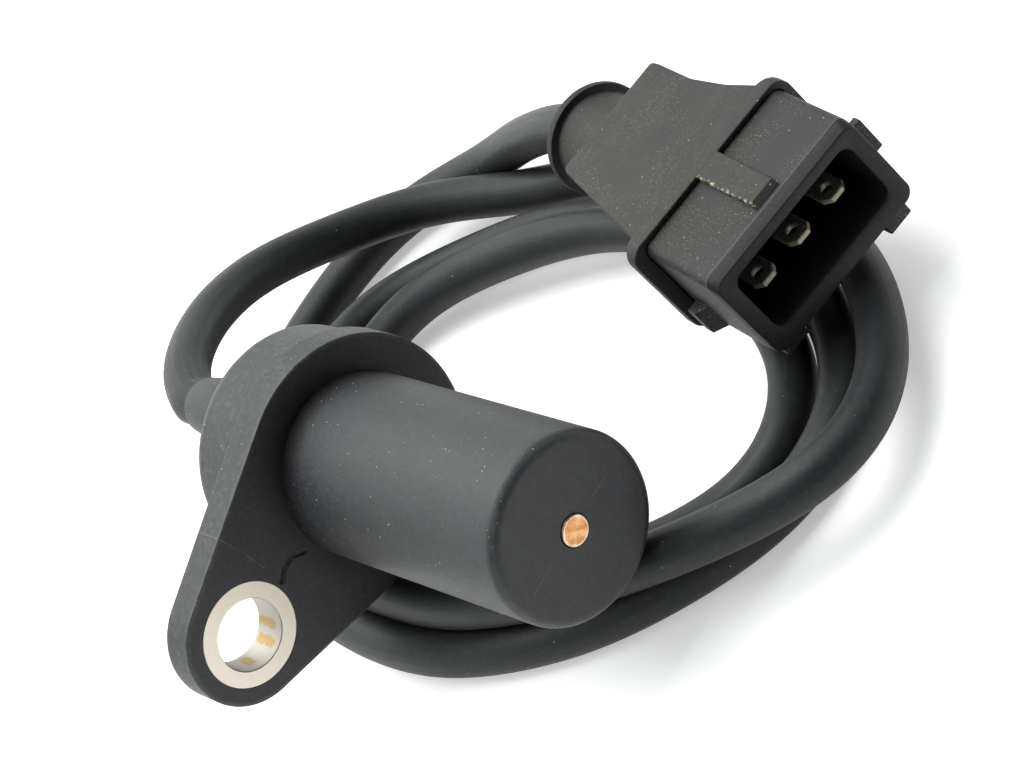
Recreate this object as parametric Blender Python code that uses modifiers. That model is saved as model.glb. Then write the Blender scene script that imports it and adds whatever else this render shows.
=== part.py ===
"""Rotation sensor on its own loose coil of cable, with a three way connector at the far end.

Metres, +Z up. The origin is the centre of the pole pin's end face, the barrel points along +X,
and the mounting ear points along -Y.
"""
import math

import bmesh
import bpy
import numpy as np
from mathutils import Matrix, Vector

MM = 0.001

# Sensor head, measured along the barrel from the seat plane of the mounting plate
BARREL_R = 9.0 * MM
BARREL_LEN = 33.2 * MM
TIP_ROUND = 0.9 * MM
ROOT_ROUND = 0.5 * MM
PLATE_T = 3.65 * MM
HUB_R = 12.6 * MM
EAR_R = 7.0 * MM
EAR_Y = -19.6 * MM
BOSS_R = 12.2 * MM
BOSS_BACK_R = 11.85 * MM
BOSS_BACK = -10.4 * MM
EDGE_ROUND = 0.25 * MM
COLLAR_R = 3.5 * MM
COLLAR_BACK = -16.7 * MM
COLLAR_Y = -1.6 * MM
COLLAR_Z = 7.4 * MM

# Bush in the ear
BUSH_R = 5.2 * MM
BUSH_BORE_R = 3.55 * MM
BUSH_PROUD = 0.5 * MM
BUSH_FIT = 0.15 * MM

# Magnetic parts inside the barrel
PIN_R = 1.5 * MM
PIN_PROUD = 0.2 * MM
PIN_FIT = 0.1 * MM
TIP_WALL = 1.6 * MM
SEAM = 0.3 * MM
BOBBIN_FLANGE_R = 7.0 * MM
BOBBIN_FLANGE_T = 1.0 * MM
BOBBIN_HUB_R = 2.8 * MM
BOBBIN_LEN = 19.1 * MM
WINDING_R = 6.2 * MM
MAGNET_R = 3.0 * MM
MAGNET_LEN = 6.0 * MM
YOKE_R = 5.0 * MM
YOKE_T = 2.0 * MM
BOSS_CAVITY_R = 9.6 * MM
BOSS_CAVITY_FRONT = -1.0 * MM
BOSS_BACK_WALL = 2.0 * MM
POST_SIDE = 0.8 * MM
POST_Y = 6.3 * MM
POST_BACK = -1.5 * MM
SPLICE_R = 0.9 * MM
SPLICE_LEN = 3.2 * MM
PASSAGE_R = 2.3 * MM

# Cable
CABLE_D = 4.8 * MM
CORE_R = 0.6 * MM
ROUTE_STEPS = 78
STUB = 2.0 * MM
ROUTE_SOFT = 4.0

# Connector, measured back from the rim of its mouth
PLUG_X = 34.7 * MM
PLUG_Y = 34.9 * MM
PLUG_Z = -4.55 * MM
PLUG_HEADING = math.radians(-11.65)
SHROUD_HALF_W = 9.9 * MM
SHROUD_HALF_H = 5.5 * MM
SHROUD_LEN = 12.6 * MM
SHROUD_TAIL_HALF_W = 6.2 * MM
SHROUD_TAIL_HALF_H = 4.4 * MM
SHROUD_TAIL_END = 16.6 * MM
RIM_T = 1.47 * MM
RIM_TOP = 5.13 * MM
RIM_BOTTOM = 5.8 * MM
RIM_HALF_W = 9.8 * MM
MOUTH_HALF_W = 8.07 * MM
MOUTH_HALF_H = 3.8 * MM
MOUTH_DEPTH = 10.5 * MM
MOUTH_ROUND = 1.2 * MM
HOOD_HALF_H = 6.14 * MM
HOOD_REAR = 29.7 * MM
HOOD_REAR_HALF_W = 6.9 * MM
HOOD_FRONT = 11.65 * MM
LIP_T = 1.9 * MM
LIP_NEAR = 11.5 * MM
LIP_FAR = 10.9 * MM
LIP_ROUND = 1.8 * MM
HOOD_WALL = 1.0 * MM
TONGUE_HALF_W = 1.57 * MM
TONGUE_END = 1.9 * MM
RIB_NEAR = 1.34 * MM
RIB_NEAR_BACK = -10.4 * MM
RIB_NEAR_FRONT = -9.1 * MM
RIB_NEAR_FOOT = -8.0 * MM
RIB_NEAR_LOW = -4.95 * MM
RIB_NEAR_HIGH = -1.8 * MM
RIB_FAR = 1.05 * MM
RIB_FAR_BACK = -4.5 * MM
RIB_FAR_FRONT = -1.6 * MM
RIB_FAR_LOW = -0.7 * MM
RIB_FAR_HIGH = 3.2 * MM
KEY_W = 2.9 * MM
KEY_BACK = -9.0 * MM
KEY_FRONT = -0.25 * MM
KEY_FAR_Y = 6.95 * MM
KEY_FAR_DROP = 1.6 * MM
KEY_NEAR_Y = -7.7 * MM
KEY_NEAR_DROP = 1.2 * MM
TAB_PITCH = 5.0 * MM
TAB_W = 2.8 * MM
TAB_T = 0.8 * MM
TAB_TIP = 2.8 * MM
TAB_END = 17.8 * MM
TAB_Z = -1.2 * MM
TAB_HOLE_R = 0.65 * MM
TAB_HOLE_BACK = 1.9 * MM
GROMMET_Y = -0.95 * MM
GROMMET_END = 37.8 * MM
GROMMET_R = 5.0 * MM
GROMMET_RIM_R = 5.8 * MM
GROMMET_RIM_T = 0.9 * MM
GROMMET_NECK_R = 3.0 * MM
GROMMET_NECK_END = 27.6 * MM
GROMMET_BORE_R = 1.95 * MM
GROMMET_CUP_R = 4.6 * MM
GROMMET_CUP_DEPTH = 1.2 * MM
PLUG_CORE_R = 0.55 * MM
PLUG_CORE_RING = 1.12 * MM

SEAT_X = -(BARREL_LEN + PIN_PROUD)
SEG = 64
SMOOTH_ANGLE = math.radians(32)

PARTS = "rotation_sensor"
CUTTERS = "cutters"


def clear_scene():
    """Remove what a new file holds."""
    for obj in list(bpy.data.objects):
        bpy.data.objects.remove(obj, do_unlink=True)


def make_collection(name):
    """A collection linked to the scene."""
    coll = bpy.data.collections.new(name)
    bpy.context.scene.collection.children.link(coll)
    return coll


def make_material(name, color, metallic, roughness):
    """A plain Principled material."""
    mat = bpy.data.materials.new(name)
    mat.use_nodes = True
    shader = mat.node_tree.nodes["Principled BSDF"]
    shader.inputs["Base Color"].default_value = (*color, 1.0)
    shader.inputs["Metallic"].default_value = metallic
    shader.inputs["Roughness"].default_value = roughness
    mat.diffuse_color = (*color, 1.0)
    return mat


def nylon_material():
    """Glass filled nylon of the sensor head."""
    return make_material("head_nylon", (0.045, 0.046, 0.050), 0.0, 0.6)


def bush_material():
    """Plated steel of the bush."""
    return make_material("bush_steel", (0.70, 0.66, 0.58), 1.0, 0.35)


def pin_material():
    """Pole pin iron with a copper coloured plating."""
    return make_material("pin_plate", (0.80, 0.53, 0.33), 1.0, 0.35)


def magnet_material():
    """Sintered magnet."""
    return make_material("magnet_grey", (0.30, 0.30, 0.31), 1.0, 0.45)


def yoke_material():
    """Soft iron."""
    return make_material("yoke_iron", (0.35, 0.34, 0.33), 1.0, 0.5)


def bobbin_material():
    """Moulded bobbin."""
    return make_material("bobbin_plastic", (0.10, 0.10, 0.11), 0.0, 0.5)


def winding_material():
    """Enamelled copper wire."""
    return make_material("winding_copper", (0.55, 0.22, 0.09), 1.0, 0.35)


def terminal_material():
    """Tinned brass."""
    return make_material("terminal_tin", (0.62, 0.58, 0.48), 1.0, 0.35)


def jacket_material():
    """Cable jacket."""
    return make_material("cable_jacket", (0.030, 0.032, 0.033), 0.0, 0.45)


def core_material():
    """Core insulation."""
    return make_material("core_insulation", (0.35, 0.34, 0.32), 0.0, 0.5)


def hood_material():
    """Connector hood."""
    return make_material("hood_plastic", (0.050, 0.048, 0.046), 0.0, 0.65)


def shroud_material():
    """Connector inner body."""
    return make_material("shroud_plastic", (0.042, 0.041, 0.043), 0.0, 0.6)


def grommet_material():
    """Rubber of the cable grommet."""
    return make_material("grommet_rubber", (0.060, 0.057, 0.054), 0.0, 0.7)


def finish(obj, mat):
    """Material, smooth shading and sharp edges."""
    obj.data.materials.clear()
    obj.data.materials.append(mat)
    for poly in obj.data.polygons:
        poly.use_smooth = True
    obj.data.set_sharp_from_angle(angle=SMOOTH_ANGLE)
    return obj


def add_mesh_object(name, mesh, coll):
    """Object of a mesh, in a collection."""
    obj = bpy.data.objects.new(name, mesh)
    coll.objects.link(obj)
    return obj


def mesh_of(obj):
    """Welded mesh of an object with its modifiers and place, which takes the object away."""
    bpy.context.view_layer.update()
    depsgraph = bpy.context.evaluated_depsgraph_get()
    source = obj.evaluated_get(depsgraph)
    mesh = bpy.data.meshes.new_from_object(source)
    mesh.transform(obj.matrix_world)
    bm = bmesh.new()
    bm.from_mesh(mesh)
    bmesh.ops.remove_doubles(bm, verts=bm.verts, dist=0.001 * MM)
    bmesh.ops.recalc_face_normals(bm, faces=bm.faces)
    bm.to_mesh(mesh)
    bm.free()
    mesh.name = obj.name
    bpy.data.objects.remove(obj, do_unlink=True)
    return mesh


def turned(name, profile, coll, seg=SEG):
    """Solid of revolution about Z from (radius, height) points, listed from the top down."""
    mesh = bpy.data.meshes.new(name)
    verts = [(r, 0.0, z) for r, z in profile]
    edges = [(i, i + 1) for i in range(len(verts) - 1)]
    if profile[0][0] > 0.0:
        edges.append((len(verts) - 1, 0))
    mesh.from_pydata(verts, edges, [])
    obj = add_mesh_object(name, mesh, coll)
    screw = obj.modifiers.new("turn", "SCREW")
    screw.axis = "Z"
    screw.angle = 2.0 * math.pi
    screw.steps = seg
    screw.render_steps = seg
    screw.use_merge_vertices = True
    screw.merge_threshold = 0.00001
    screw.use_smooth_shade = False
    return add_mesh_object(name, mesh_of(obj), coll)


def plate_of(name, points, half_t, coll):
    """Flat solid of an outline in XY, from -half_t to +half_t in Z."""
    curve = bpy.data.curves.new(name, "CURVE")
    curve.dimensions = "2D"
    curve.fill_mode = "BOTH"
    curve.extrude = half_t
    line = curve.splines.new("POLY")
    line.points.add(len(points) - 1)
    for point, (x, y) in zip(line.points, points):
        point.co = (x, y, 0.0, 1.0)
    line.use_cyclic_u = True
    obj = bpy.data.objects.new(name, curve)
    coll.objects.link(obj)
    return add_mesh_object(name, mesh_of(obj), coll)


def box_of(name, low, high, coll):
    """Box between two corners."""
    mesh = bpy.data.meshes.new(name)
    bm = bmesh.new()
    bmesh.ops.create_cube(bm, size=1.0)
    low = Vector(low)
    high = Vector(high)
    size = high - low
    bm.transform(Matrix.Translation((low + high) / 2) @ Matrix.Diagonal((*size, 1.0)))
    bm.to_mesh(mesh)
    bm.free()
    return add_mesh_object(name, mesh, coll)


def cylinder_of(name, radius, low, high, coll, seg=SEG):
    """Cylinder along Z from low to high."""
    mesh = bpy.data.meshes.new(name)
    bm = bmesh.new()
    bmesh.ops.create_cone(bm, cap_ends=True, segments=seg, radius1=radius, radius2=radius, depth=high - low)
    bm.transform(Matrix.Translation((0.0, 0.0, (low + high) / 2)))
    bm.to_mesh(mesh)
    bm.free()
    return add_mesh_object(name, mesh, coll)


def tube_of(name, points, radius, coll, around=3):
    """Round tube along points, with filled ends."""
    curve = bpy.data.curves.new(name, "CURVE")
    curve.dimensions = "3D"
    curve.bevel_depth = radius
    curve.bevel_resolution = around
    curve.use_fill_caps = True
    curve.twist_mode = "MINIMUM"
    line = curve.splines.new("POLY")
    line.points.add(len(points) - 1)
    for point, place in zip(line.points, points):
        point.co = (*place, 1.0)
    obj = bpy.data.objects.new(name, curve)
    coll.objects.link(obj)
    return add_mesh_object(name, mesh_of(obj), coll)


def round_edges(obj, width, segments=2, angle=40.0):
    """Bevel on the edges sharper than an angle."""
    mod = obj.modifiers.new("round", "BEVEL")
    mod.width = width
    mod.segments = segments
    mod.limit_method = "ANGLE"
    mod.angle_limit = math.radians(angle)
    return obj


def combine(obj, tool, operation, cutters):
    """Exact Boolean with a hidden tool."""
    for coll in list(tool.users_collection):
        coll.objects.unlink(tool)
    cutters.objects.link(tool)
    tool.hide_render = True
    tool.display_type = "WIRE"
    mod = obj.modifiers.new(operation.lower() + "_" + tool.name, "BOOLEAN")
    mod.solver = "EXACT"
    mod.operation = operation
    mod.object = tool
    return obj


def place(objects, frame):
    """Parent objects to a frame."""
    for obj in objects:
        obj.parent = frame
    return objects


def make_frame(name, location, rotation, coll):
    """Empty that carries a group of parts."""
    frame = bpy.data.objects.new(name, None)
    frame.location = location
    frame.rotation_euler = rotation
    coll.objects.link(frame)
    return frame


def arc(radius, start, end, count, centre=(0.0, 0.0)):
    """Points on an arc in XY, angles in degrees."""
    angles = np.radians(np.linspace(start, end, count))
    return [(centre[0] + radius * math.cos(a), centre[1] + radius * math.sin(a)) for a in angles]


def hull_outline():
    """Plate outline: hub circle and ear circle with their common tangents, ear toward -Y."""
    lean = math.degrees(math.asin((HUB_R - EAR_R) / -EAR_Y))
    hub = arc(HUB_R, -lean, 180.0 + lean, 49)
    ear = arc(EAR_R, 180.0 + lean, 360.0 - lean, 33, (0.0, EAR_Y))
    return hub + ear


def housing(parts, cutters, frame):
    """Barrel, plate with ear, boss and cable collar in one moulding, hollow inside."""
    tip = BARREL_LEN
    body_profile = [
        (0.0, tip),
        (BARREL_R - TIP_ROUND, tip),
        (BARREL_R - 0.5 * TIP_ROUND, tip - 0.13 * TIP_ROUND),
        (BARREL_R - 0.13 * TIP_ROUND, tip - 0.5 * TIP_ROUND),
        (BARREL_R, tip - TIP_ROUND),
        (BARREL_R, ROOT_ROUND),
        (BARREL_R + 0.3 * ROOT_ROUND, 0.3 * ROOT_ROUND),
        (BARREL_R + ROOT_ROUND, -0.01 * MM),
        (BARREL_R + ROOT_ROUND, -0.45 * PLATE_T),
        (BOSS_R, -0.55 * PLATE_T),
        (BOSS_R, -PLATE_T),
        (BOSS_BACK_R, BOSS_BACK + 0.5 * MM),
        (BOSS_BACK_R - 0.15 * MM, BOSS_BACK + 0.15 * MM),
        (BOSS_BACK_R - 0.5 * MM, BOSS_BACK),
        (0.0, BOSS_BACK),
    ]
    body = turned("sensor_housing", body_profile, parts)
    plate = plate_of("plate_solid", hull_outline(), PLATE_T / 2, parts)
    plate.location = (0.0, 0.0, -PLATE_T / 2)
    round_edges(plate, EDGE_ROUND)
    collar_profile = [
        (0.0, BOSS_BACK + 1.0 * MM),
        (COLLAR_R, BOSS_BACK + 1.0 * MM),
        (COLLAR_R, COLLAR_BACK + 0.5 * MM),
        (COLLAR_R - 0.15 * MM, COLLAR_BACK + 0.15 * MM),
        (COLLAR_R - 0.5 * MM, COLLAR_BACK),
        (0.0, COLLAR_BACK),
    ]
    collar = turned("collar_solid", collar_profile, parts, 40)
    collar.location = (-COLLAR_Z, COLLAR_Y, 0.0)
    cavity_r = BOBBIN_FLANGE_R + SEAM
    cavity_profile = [
        (0.0, tip - TIP_WALL),
        (cavity_r, tip - TIP_WALL),
        (cavity_r, BOSS_CAVITY_FRONT),
        (BOSS_CAVITY_R, BOSS_CAVITY_FRONT),
        (BOSS_CAVITY_R, BOSS_BACK + BOSS_BACK_WALL),
        (0.0, BOSS_BACK + BOSS_BACK_WALL),
    ]
    cavity = turned("cavity_cut", cavity_profile, parts)
    pin_hole = cylinder_of("pin_hole_cut", PIN_R + PIN_FIT, tip - 2 * TIP_WALL, tip + 1.0 * MM, parts, 32)
    passage = cylinder_of("passage_cut", PASSAGE_R, COLLAR_BACK - 1.0 * MM, BOSS_BACK + 2 * BOSS_BACK_WALL, parts, 32)
    passage.location = (-COLLAR_Z, COLLAR_Y, 0.0)
    bush_hole = cylinder_of("bush_hole_cut", BUSH_R + BUSH_FIT, -PLATE_T - 1.0 * MM, 1.0 * MM, parts, 48)
    bush_hole.location = (0.0, EAR_Y, 0.0)
    combine(body, plate, "UNION", cutters)
    combine(body, collar, "UNION", cutters)
    combine(body, cavity, "DIFFERENCE", cutters)
    combine(body, pin_hole, "DIFFERENCE", cutters)
    combine(body, passage, "DIFFERENCE", cutters)
    combine(body, bush_hole, "DIFFERENCE", cutters)
    place([body, plate, collar, cavity, pin_hole, passage, bush_hole], frame)
    return finish(body, nylon_material())


def bush(parts, frame):
    """Steel bush pressed into the ear, flush in front and proud behind."""
    back = -PLATE_T - BUSH_PROUD
    soft = 0.2 * MM
    profile = [
        (BUSH_BORE_R + soft, 0.0),
        (BUSH_R - soft, 0.0),
        (BUSH_R, -soft),
        (BUSH_R, back + soft),
        (BUSH_R - soft, back),
        (BUSH_BORE_R + soft, back),
        (BUSH_BORE_R, back + soft),
        (BUSH_BORE_R, -soft),
    ]
    obj = turned("mounting_bush", profile, parts, 48)
    obj.location = (0.0, EAR_Y, 0.0)
    place([obj], frame)
    return finish(obj, bush_material())


def magnet_stack(parts, frame):
    """Pole pin, magnet and yoke, one behind the other on the barrel axis."""
    bobbin_front = BARREL_LEN - TIP_WALL - SEAM
    bobbin_back = bobbin_front - BOBBIN_LEN
    pin_back = bobbin_back - SEAM
    magnet_front = pin_back - SEAM
    magnet_back = magnet_front - MAGNET_LEN
    yoke_front = magnet_back - SEAM
    tip = BARREL_LEN + PIN_PROUD
    pin_profile = [(0.0, tip), (PIN_R - 0.1 * MM, tip), (PIN_R, tip - 0.1 * MM), (PIN_R, pin_back), (0.0, pin_back)]
    pin = turned("pole_pin", pin_profile, parts, 32)
    magnet = cylinder_of("magnet", MAGNET_R, magnet_back, magnet_front, parts, 40)
    yoke = cylinder_of("back_yoke", YOKE_R, yoke_front - YOKE_T, yoke_front, parts, 48)
    place([pin, magnet, yoke], frame)
    finish(pin, pin_material())
    finish(magnet, magnet_material())
    finish(yoke, yoke_material())
    return bobbin_back


def coil(parts, frame):
    """Bobbin round the pole pin, and its winding."""
    front = BARREL_LEN - TIP_WALL - SEAM
    back = front - BOBBIN_LEN
    bore = PIN_R + SEAM
    profile = [
        (bore, front),
        (BOBBIN_FLANGE_R, front),
        (BOBBIN_FLANGE_R, front - BOBBIN_FLANGE_T),
        (BOBBIN_HUB_R, front - BOBBIN_FLANGE_T),
        (BOBBIN_HUB_R, back + BOBBIN_FLANGE_T),
        (BOBBIN_FLANGE_R, back + BOBBIN_FLANGE_T),
        (BOBBIN_FLANGE_R, back),
        (bore, back),
    ]
    bobbin = turned("coil_bobbin", profile, parts, 48)
    wind_front = front - BOBBIN_FLANGE_T - SEAM
    wind_back = back + BOBBIN_FLANGE_T + SEAM
    wind_profile = [
        (BOBBIN_HUB_R + SEAM, wind_front),
        (WINDING_R, wind_front),
        (WINDING_R, wind_back),
        (BOBBIN_HUB_R + SEAM, wind_back),
    ]
    winding = turned("coil_winding", wind_profile, parts, 48)
    place([bobbin, winding], frame)
    finish(bobbin, bobbin_material())
    finish(winding, winding_material())
    return back


def head_wiring(side, letter, back, parts, frame):
    """Terminal post, splice and cable core on one side of the head."""
    half = POST_SIDE / 2
    y = side * POST_Y
    post = box_of("terminal_post_" + letter, (-half, y - half, POST_BACK), (half, y + half, back - SEAM), parts)
    splice_top = POST_BACK - SEAM
    splice_low = splice_top - SPLICE_LEN
    splice = cylinder_of("splice_" + letter, SPLICE_R, splice_low, splice_top, parts, 20)
    splice.location = (0.0, y, 0.0)
    start = splice_low - SEAM
    lane = COLLAR_Y + side * 0.9 * MM
    route = [
        (0.0, y, start),
        (-0.1 * MM, y, start - 0.6 * MM),
        (-0.9 * MM, y, start - 1.5 * MM),
        (-3.0 * MM, 0.86 * y + 0.14 * lane, start - 1.9 * MM),
        (-5.4 * MM, 0.45 * y + 0.55 * lane, start - 2.1 * MM),
        (-6.9 * MM, 0.15 * y + 0.85 * lane, start - 2.5 * MM),
        (-COLLAR_Z, lane, start - 3.8 * MM),
        (-COLLAR_Z, lane, COLLAR_BACK + SEAM),
    ]
    core = tube_of("head_core_" + letter, route, CORE_R, parts, 1)
    place([post, splice, core], frame)
    finish(post, terminal_material())
    finish(splice, terminal_material())
    finish(core, core_material())


# Cable route, in millimetres from the seat plane of the plate on the barrel axis.
# Each list is one stretch of the loose coil, and LOW is the centre of a strand on the floor.
LOW = -16.6
LEAD_OUT = [
    (-19.0, -1.6, 7.4), (-21.6, -1.1, 7.3), (-25.4, 1.4, 6.5), (-32.0, 6.8, 3.7), (-38.0, 14.2, -0.6),
    (-40.8, 21.6, -5.6), (-39.6, 28.4, -10.0), (-36.6, 34.1, -13.1), (-33.6, 36.3, -14.2), (-30.2, 38.0, -15.3),
    (-25.4, 39.9, -16.5),
]
FIRST_TURN = [
    (-18.0, 42.9, LOW), (-9.0, 45.4, LOW), (2.0, 46.8, LOW), (12.4, 45.4, LOW), (21.6, 42.2, -16.4),
    (29.0, 39.0, -15.2), (35.2, 34.8, -14.6), (40.2, 29.6, -14.3), (44.0, 23.2, -12.9), (45.0, 18.0, -11.7),
    (42.6, 13.0, -11.0), (37.8, 8.4, -11.0), (33.0, 4.9, -11.2), (26.2, 0.8, -11.7), (18.5, -3.3, -11.9),
    (10.5, -6.1, -12.5), (3.3, -7.2, -13.6), (-3.5, -7.4, -13.7), (-9.5, -7.5, -13.6), (-15.0, -7.0, -12.9),
    (-19.4, -4.4, -11.3), (-23.4, -0.2, -11.5), (-27.0, 4.6, -14.0), (-30.6, 9.6, -15.9),
]
SECOND_TURN = [
    (-32.8, 14.8, -16.4), (-32.0, 20.2, -15.9), (-28.2, 25.0, -14.9), (-21.4, 29.4, -14.2), (-12.0, 34.1, -13.6),
    (-3.6, 36.7, -13.5), (6.6, 37.0, -13.9), (15.6, 34.3, -15.2), (22.6, 31.0, -16.4), (28.0, 27.2, LOW),
    (31.6, 21.8, LOW), (32.2, 15.6, LOW), (28.8, 10.2, LOW), (24.0, 6.0, LOW), (18.2, 2.2, LOW), (12.0, -0.8, LOW),
    (5.0, -2.7, LOW), (-4.0, -3.5, LOW), (-14.0, -3.4, LOW), (-23.8, -2.1, LOW), (-32.4, 2.6, LOW),
]
THIRD_TURN = [
    (-38.2, 9.2, LOW), (-39.6, 16.8, LOW), (-37.0, 23.2, LOW), (-31.4, 28.2, LOW), (-24.6, 32.9, LOW),
    (-16.0, 37.5, LOW), (-6.0, 40.4, LOW), (4.0, 41.2, LOW), (14.0, 39.8, LOW), (22.4, 36.6, LOW),
    (29.2, 32.8, LOW), (34.7, 27.8, -16.6), (37.6, 21.4, -16.5), (36.8, 14.0, -16.4), (33.0, 7.6, -16.4),
    (28.0, 2.2, -16.5), (22.4, -2.7, LOW), (14.6, -7.2, LOW), (5.0, -10.7, LOW), (-5.0, -11.4, LOW),
]
LEAD_IN = [
    (-15.0, -10.4, LOW), (-25.0, -7.2, LOW), (-34.6, -2.6, LOW), (-42.2, 4.4, LOW), (-45.8, 12.6, LOW),
    (-46.2, 20.6, LOW), (-45.6, 27.8, LOW), (-43.6, 33.2, LOW), (-40.0, 38.0, LOW), (-34.4, 42.0, -16.4),
    (-26.6, 43.6, -12.9), (-19.6, 43.3, -9.5), (-12.8, 43.0, -6.6), (-7.0, 42.8, -4.9),
]
CABLE_ROUTE = LEAD_OUT + FIRST_TURN + SECOND_TURN + THIRD_TURN + LEAD_IN


def spline_through(points, step):
    """Natural cubic spline through points, sampled about every step of its length."""
    knots = np.array(points)
    gaps = np.linalg.norm(np.diff(knots, axis=0), axis=1)
    along = np.concatenate([[0.0], np.cumsum(gaps)])
    count = len(knots)
    system = np.eye(count)
    right = np.zeros((count, 3))
    for i in range(1, count - 1):
        system[i, i - 1] = gaps[i - 1]
        system[i, i] = 2.0 * (gaps[i - 1] + gaps[i])
        system[i, i + 1] = gaps[i]
        right[i] = 6.0 * ((knots[i + 1] - knots[i]) / gaps[i] - (knots[i] - knots[i - 1]) / gaps[i - 1])
    bend = np.linalg.solve(system, right)
    t = np.linspace(0.0, along[-1], int(along[-1] / step) + 1)
    i = np.clip(np.searchsorted(along, t) - 1, 0, count - 2)
    h = gaps[i][:, None]
    u = (along[i + 1] - t)[:, None]
    v = (t - along[i])[:, None]
    cubic = (bend[i] * u**3 + bend[i + 1] * v**3) / (6.0 * h)
    return cubic + (knots[i] / h - bend[i] * h / 6.0) * u + (knots[i + 1] / h - bend[i + 1] * h / 6.0) * v


def relaxed(curve, width):
    """Curve with its small kinks eased by a running mean, both ends kept."""
    reach = int(3.5 * width)
    weight = np.exp(-0.5 * (np.arange(-reach, reach + 1) / width) ** 2)
    weight /= weight.sum()
    before = 2.0 * curve[0] - curve[1 : reach + 1][::-1]
    after = 2.0 * curve[-1] - curve[-reach - 1 : -1][::-1]
    longer = np.vstack([before, curve, after])
    return np.stack([np.convolve(longer[:, k], weight, "valid") for k in range(3)], axis=1)


def cable_end(back):
    """Point on the grommet's axis, back metres behind the rim of the mouth, from the seat plane."""
    turn = Matrix.Rotation(PLUG_HEADING, 3, "Z")
    return Vector((PLUG_X, PLUG_Y, PLUG_Z)) + turn @ Vector((-back, GROMMET_Y, 0.0))


def cable(parts):
    """Jacketed cable from the collar, round the loose coil, into the grommet."""
    end_back = GROMMET_END - GROMMET_CUP_DEPTH + SEAM
    start = Vector((COLLAR_BACK - SEAM, COLLAR_Y, COLLAR_Z))
    end = cable_end(end_back)
    last = tuple(cable_end(end_back + STUB) / MM)
    curve = relaxed(spline_through(CABLE_ROUTE + [last], 1.0), ROUTE_SOFT)
    keep = np.round(np.linspace(0, len(curve) - 1, ROUTE_STEPS)).astype(int)
    points = [start] + [Vector(p) * MM for p in curve[keep]] + [end]
    seat = Vector((SEAT_X, 0.0, 0.0))
    obj = tube_of("cable", [seat + p for p in points], CABLE_D / 2, parts, 3)
    return finish(obj, jacket_material())


def hood_outline(inset, rear, front):
    """Hood outline seen from above: straight flare on the -Y side, hollow flare on the +Y side."""
    right = [(0.0, 6.8), (4.2, 6.72), (8.3, 6.95), (12.4, 7.7), (16.1, 9.0), (18.05, 9.9)]
    left = [(0.0, -6.95), (16.1, -9.6), (18.05, -9.9)]
    start = -HOOD_REAR
    outer = [(start + p * MM, r * MM) for p, r in right]
    inner = [(start + p * MM, r * MM) for p, r in left]
    far = [(x, y - inset) for x, y in outer if rear < x < front]
    near = [(x, y + inset) for x, y in inner if rear < x < front]
    far_front = float(np.interp(front, *np.transpose(outer))) - inset
    near_front = float(np.interp(front, *np.transpose(inner))) + inset
    edge = [(rear, HOOD_REAR_HALF_W - 0.1 * MM - inset)] + far + [(front, far_front)]
    back = [(front, near_front)] + near[::-1] + [(rear, -HOOD_REAR_HALF_W + inset)]
    return list(reversed(edge + back))


def rounded_box_outline(half_w, half_h, radius, steps=5):
    """Rounded rectangle in XY."""
    corners = [(1, 1, 0), (-1, 1, 90), (-1, -1, 180), (1, -1, 270)]
    points = []
    for sx, sy, start in corners:
        centre = (sx * (half_w - radius), sy * (half_h - radius))
        points += arc(radius, start, start + 90, steps, centre)
    return points


def prism_along_x(name, half_w, half_h, radius, low, high, coll):
    """Rounded box whose length runs along X from low to high."""
    obj = plate_of(name, rounded_box_outline(half_h, half_w, radius), (high - low) / 2, coll)
    turn = Matrix.Rotation(math.radians(90), 4, "Y")
    obj.data.transform(Matrix.Translation(((low + high) / 2, 0.0, 0.0)) @ turn)
    return obj


def hood(parts, cutters, frame):
    """Hood of the connector: flared shell, front lip, and the tongue on its top."""
    body = plate_of("connector_hood", hood_outline(0.0, -HOOD_REAR, -HOOD_FRONT - 0.5 * LIP_T), HOOD_HALF_H, parts)
    round_edges(body, 0.35 * MM)
    lip_half_w = (LIP_NEAR + LIP_FAR) / 2
    lip = prism_along_x("lip_solid", lip_half_w, HOOD_HALF_H, LIP_ROUND, -HOOD_FRONT - LIP_T, -HOOD_FRONT, parts)
    lip.location = (0.0, (LIP_FAR - LIP_NEAR) / 2, 0.0)
    round_edges(lip, 0.3 * MM)
    tongue_low = SHROUD_HALF_H + SEAM
    tongue = box_of(
        "tongue_solid",
        (-HOOD_FRONT - LIP_T, -TONGUE_HALF_W, tongue_low),
        (-TONGUE_END, TONGUE_HALF_W, HOOD_HALF_H - 0.01 * MM),
        parts,
    )
    wall = HOOD_WALL
    room = plate_of("hood_room_cut", hood_outline(wall, -HOOD_REAR + wall, -SHROUD_LEN), HOOD_HALF_H - wall, parts)
    socket = prism_along_x(
        "hood_socket_cut",
        SHROUD_HALF_W + SEAM,
        SHROUD_HALF_H + 0.5 * SEAM,
        1.2 * MM,
        -SHROUD_LEN - SEAM,
        -HOOD_FRONT + 1.0 * MM,
        parts,
    )
    neck_hole = cylinder_of("neck_hole_cut", GROMMET_NECK_R + SEAM, -4.0 * MM, 4.0 * MM, parts, 32)
    neck_hole.data.transform(Matrix.Rotation(math.radians(90), 4, "Y"))
    neck_hole.location = (-HOOD_REAR, GROMMET_Y, 0.0)
    combine(body, lip, "UNION", cutters)
    combine(body, room, "DIFFERENCE", cutters)
    combine(body, socket, "DIFFERENCE", cutters)
    combine(body, tongue, "UNION", cutters)
    combine(body, neck_hole, "DIFFERENCE", cutters)
    place([body, lip, tongue, room, socket, neck_hole], frame)
    return finish(body, hood_material())


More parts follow.
